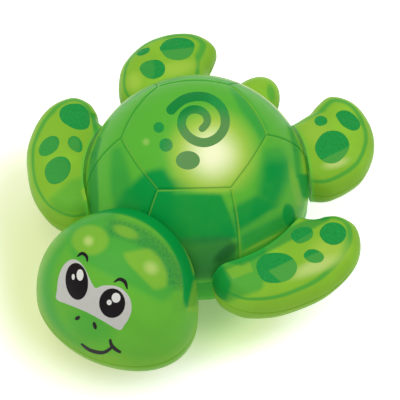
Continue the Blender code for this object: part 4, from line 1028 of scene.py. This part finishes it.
class TURTLE_OT_tail(bpy.types.Operator):
    """Makes the small hollow tail"""

    bl_idname = "turtle.tail"
    bl_label = "Tail"

    def execute(self, context):
        tint, size = colours(), sizes()
        bm = None
        for shrink, across, down in ((0.0, 64, 40), (size.wall, 32, 20)):
            part = bmesh.new()
            place = Matrix.Translation(CENTRE + Vector((0, SHELL_R, TAIL_RISE)))
            spread = TAIL_SIZE - Vector((shrink,) * 3)
            bmesh.ops.create_uvsphere(part, u_segments=across, v_segments=down, radius=1.0,
                                      matrix=place @ Matrix.Diagonal((*spread, 1)))
            bm = boolean(part, ball(SHELL_R + 0.3 * MM)) if bm is None else boolean(bm, part)
        finish = clear_plastic("tail_plastic", tint.limbs, shade(tint.limbs, 1.15))
        # A greener spot on the tail, and a faint painted glow of its own colour
        finish.wash(LEAF, finish.spot(271, 93, 4, 9, -12, 0.9), 0.9)
        finish.close(0.1)
        add_piece("tail_bump", bm, "shell", finish.material, ("tail",))
        return {"FINISHED"}


class TURTLE_OT_head(bpy.types.Operator):
    """Makes the two halves of the head"""

    bl_idname = "turtle.head"
    bl_label = "Head"

    def plastic(self, tint):
        """The head's plastic: painted shade in deep green at its rim, soft pale patches of painted
        reflection, and a mottled band.
        """
        finish = clear_plastic("head_plastic", tint.head, shade(tint.head, 1.1))
        specks = finish.ramp(finish.noise(FINE_NOISE, 3.0), 0.36, 0.64, 0.45, 1.0)
        # Painted light: the head's lower part is lighter
        low = finish.ramp(finish.along(UPRIGHT), 8 * MM, -1 * MM)
        finish.lay(HEAD_ZONES, own=tint.head, specks=specks, low=low, edge=finish.oval(105, 290, 1, 1))
        # A faint painted glow of the plastic's own colour
        return finish.close(0.1)

    def execute(self, context):
        tint, size = colours(), sizes()
        skin = head_skin(0.0, *HEAD_FACETS, HEAD_RIM)
        mat = self.plastic(tint)
        lining = head_skin(size.wall, *LINING_FACETS, HEAD_LINING_RIM)
        for name, side in (("upper", 1), ("lower", -1)):
            bm = capsule_half(skin, lining, CENTRE.z + HEAD_PARTING, side)
            add_piece(f"head_shell_{name}", bm, "head", mat.material, (f"head_{name}",))
        skin.free()
        lining.free()
        return {"FINISHED"}


class TURTLE_OT_flippers(bpy.types.Operator):
    """Makes the four flippers, each of two halves"""

    bl_idname = "turtle.flippers"
    bl_label = "Flippers"

    def plastic(self, tint):
        """The flippers' plastic: lime, greener round the shoulder, painted shade in deep green at the root,
        and painted highlights.
        """
        finish = clear_plastic("flipper_plastic", tint.limbs, shade(tint.limbs, 1.15))
        height = finish.along(UPRIGHT)
        top = finish.ramp(height, 0.5 * MM, 2 * MM)
        reach = finish.reach(CENTRE)
        finish.lay(FLIPPER_ZONES, height=height, top=top, reach=reach)
        # A painted glow, stronger at the root, lightens the gap at the shell
        return finish.close(finish.ramp(reach, ROOT_R, ROOT_R + ROOT_BAND, 0.3, 0.1))

    def execute(self, context):
        tint, size = colours(), sizes()
        mat = self.plastic(tint)
        for pair, outline, spine in (("front", FRONT_OUTLINE, FRONT_SPINE),
                                     ("hind", HIND_OUTLINE, HIND_SPINE)):
            skin = boolean(pillow(outline, spine, 0.0, 8, 16), ball(ROOT_R))
            lining = boolean(pillow(outline, spine, size.wall, 4, 8),
                             ball(ROOT_R + size.wall, 64, 32))
            for half, side in (("upper", 1), ("lower", -1)):
                bm = capsule_half(skin, lining, CENTRE.z, side)
                for hand, sign in (("left", 1), ("right", -1)):
                    own = bm.copy()
                    bmesh.ops.scale(own, vec=(sign, 1, 1), verts=own.verts)
                    body = f"{pair}_{hand}_flipper"
                    add_piece(f"{body}_shell_{half}", own, body, mat.material,
                              (f"{body}_{half}",))
                bm.free()
            skin.free()
            lining.free()
        return {"FINISHED"}


class TURTLE_OT_prints(bpy.types.Operator):
    """Prints the spiral, the spots and the face"""

    bl_idname = "turtle.prints"
    bl_label = "Prints"

    def execute(self, context):
        tint = colours()
        green = Finish("print_green", tint.print_green, Roughness=0.35, Specular_IOR_Level=0.12)
        green.wash(shade(tint.print_green, 1.25), green.ramp(green.noise(FINE_NOISE, 3.0), 0.35, 0.65))
        # Painted sheen on the spots, painted lamplight behind the spiral and a faint painted glow
        green.lay(PRINT_ZONES, lamp=green.oval(*GLOW_PX, 1, 1))
        green.close(0.06)
        pale = Finish("mask_print", tint.mask, Roughness=0.45)
        pale.paint("Base Color", pale.blend(pale.ramp(pale.noise(700.0), 0.4, 0.7), tint.mask,
                                            shade(tint.mask, 0.97)))
        ink = Finish("ink_print", tint.ink, Roughness=0.4, Specular_IOR_Level=0.1)
        ink.mottle(700.0, 0.3, 0.42)
        shine = Finish("eye_shine_print", shade(tint.mask, 1.35), Roughness=0.4)
        shine.mottle(700.0, 0.35, 0.45)
        objects = bpy.data.objects
        dome = surface_of([objects["dome"]])
        lay_print("spiral_print", stroke(SPIRAL, 5.0, 4.6, 3.4), dome, "shell", green.material)
        for k, (x, y, w, h) in enumerate(SHELL_DOTS, start=1):
            lay_print(f"shell_dot_{k}", disc(oval(x, y, w, h), (x, y)), dome, "shell", green.material)
        for limb, spots in SPOTS.items():
            tree = surface_of([objects[f"{limb}_flipper_shell_upper"]])
            for k, corners in enumerate(spots, start=1):
                heart = sum((Vector(corner) for corner in corners), Vector((0, 0))) / len(corners)
                outline = smooth_path(corners, 4, closed=True)
                lay_print(f"{limb}_spot_{k}", disc(outline, heart), tree, f"{limb}_flipper", green.material)
        head = surface_of([objects["head_shell_upper"], objects["head_shell_lower"]])

        def on_head(name, shape, finish, layer):
            lay_print(name, shape, head, "head", finish.material, layer)

        on_head("face_mask", disc(smooth_path(MASK, 3, closed=True), MASK_HEART, 12), pale, 1)
        for name, look, layer, points, sizing in FACE:
            shape = (disc(oval(*points), points[:2], sizing) if isinstance(points, tuple)
                     else stroke(points, *sizing))
            on_head(name, shape, {"ink": ink, "shine": shine}[look], layer)
        return {"FINISHED"}


class TURTLE_OT_packed_finishes(bpy.types.Operator):
    """Finishes the pieces that show as packed"""

    bl_idname = "turtle.packed_finishes"
    bl_label = "Packed pieces"

    def execute(self, context):
        tint = colours()
        belly = clear_plastic("belly_plastic", tint.shell, shade(tint.shell, 1.2))
        # Deeper green towards the bottom, and a painted glow of the plastic's own colour
        belly.wash(DEEP, belly.ramp(belly.along(UPRIGHT), -26 * MM, -2 * MM, 0.1, 0.6))
        belly.close(0.25)
        looks = {"belly_green": belly}
        for slot, name, colour, roughness, metallic, relief, glow in PACKED:
            look = Finish(name, colour, Roughness=roughness, Metallic=metallic)
            getattr(look, relief[0])(*relief[1:])
            if glow:
                look.shine(tint.glow if glow[0] == "lamp" else glow[0], glow[1])
            looks[slot] = look
        slots = {row["node"]: row["material_slot"] for row in frame["record"]["subparts"]}
        for name, node in frame["nodes"].items():
            look = looks.get(slots[name])
            if look:
                for slot in node.material_slots:
                    slot.material = look.material
        return {"FINISHED"}


class TURTLE_OT_stage(bpy.types.Operator):
    """Sets the floor, the studio light and the camera"""

    bl_idname = "turtle.stage"
    bl_label = "Stage"

    def execute(self, context):
        scene = context.scene
        bm = bmesh.new()
        bmesh.ops.create_grid(bm, x_segments=1, y_segments=1, size=8.0)
        mesh = bpy.data.meshes.new("floor")
        bm.to_mesh(mesh)
        bm.free()
        floor = link("floor", mesh)
        finish = Finish("floor_white", (0.86, 0.86, 0.85), Roughness=0.9, Specular_IOR_Level=0.1)
        path = finish.node("ShaderNodeLightPath").outputs
        seen = finish.most(path["Is Camera Ray"], path["Is Glossy Ray"])
        seen = finish.most(seen, path["Is Transmission Ray"])
        finish.lay(FLOOR_ZONES)
        finish.paint("Base Color", finish.tone)
        finish.paint("Emission Color", finish.tone)
        # Painted shadow: the floor gives off less light between the head and the front left flipper
        level = finish.ramp(finish.spot(206, 300, 34, 32, 20, 1.6), 0, 1, 0.85, 0.45)
        finish.paint("Emission Strength", finish.times(seen, level))
        mesh.materials.append(finish.material)

        world = bpy.data.worlds.new("studio")
        scene.world = world
        world.use_nodes = True
        sky = Wiring(world.node_tree)
        light = sky.tree.nodes["Background"].inputs
        sky.feed(light["Color"], (1, 1, 1, 1))
        path = sky.node("ShaderNodeLightPath").outputs
        seen = sky.most(path["Is Camera Ray"], path["Is Transmission Ray"])
        level = sky.node("ShaderNodeMapRange", {"Value": seen, "To Min": 0.5, "To Max": 1.0})
        sky.feed(light["Strength"], level.outputs["Result"])

        def softbox(name, azimuth, elevation, distance, size, power):
            """A square area lamp that faces the toy."""
            data = bpy.data.lights.new(name, "AREA")
            data.shape = "RECTANGLE"
            data.size, data.size_y = size
            data.energy = power
            lamp = link(name, data)
            a, e = math.radians(azimuth), math.radians(elevation)
            out = Vector((math.sin(a) * math.cos(e), -math.cos(a) * math.cos(e), math.sin(e)))
            lamp.location = CENTRE + out * distance
            lamp.rotation_euler = out.to_track_quat("Z", "Y").to_euler()

        softbox("softbox_top", -40.0, 74.0, 1.1, (0.9, 0.7), 4.6)
        softbox("softbox_side", 130.0, 40.0, 1.1, (0.5, 0.5), 1.5)
        data = bpy.data.cameras.new("camera")
        camera = link("camera", data)
        turn = Matrix((RIGHT, UP, BACK)).transposed().to_4x4()
        camera.matrix_world = Matrix.Translation(EYE) @ turn
        data.lens = data.sensor_width * LENS_PX / FRAME_PX
        data.shift_x = 0.5 - CENTRE_PX[0] / FRAME_PX
        data.shift_y = CENTRE_PX[1] / FRAME_PX - 0.5
        scene.camera = camera
        scene.view_settings.view_transform = "Standard"
        return {"FINISHED"}


class TURTLE_PT_panel(bpy.types.Panel):
    """Lists the toy's sizes, colours and pieces"""

    bl_idname = "TURTLE_PT_panel"
    bl_label = "Bath turtle"
    bl_space_type = "VIEW_3D"
    bl_region_type = "UI"
    bl_category = "Bath turtle"

    def draw(self, context):
        layout = self.layout
        for group in (context.scene.turtle_sizes, context.scene.turtle_colours):
            for name in group.__annotations__:
                layout.prop(group, name)
        for operator in OPERATORS:
            layout.operator(operator.bl_idname)


OPERATORS = (TURTLE_OT_shell, TURTLE_OT_tail, TURTLE_OT_head, TURTLE_OT_flippers, TURTLE_OT_prints,
             TURTLE_OT_packed_finishes, TURTLE_OT_stage)
CLASSES = (TurtleColours, TurtleSizes, *OPERATORS, TURTLE_PT_panel)


def register():
    for made in CLASSES:
        bpy.utils.register_class(made)
    bpy.types.Scene.turtle_colours = PointerProperty(type=TurtleColours)
    bpy.types.Scene.turtle_sizes = PointerProperty(type=TurtleSizes)


def unregister():
    del bpy.types.Scene.turtle_sizes
    del bpy.types.Scene.turtle_colours
    for made in reversed(CLASSES):
        bpy.utils.unregister_class(made)


def main():
    """Makes every piece and the stage."""
    register()
    bpy.ops.turtle.stage()
    bpy.ops.turtle.shell()
    bpy.ops.turtle.tail()
    bpy.ops.turtle.head()
    bpy.ops.turtle.flippers()
    bpy.ops.turtle.prints()
    bpy.ops.turtle.packed_finishes()


if __name__ == "__main__":
    main()
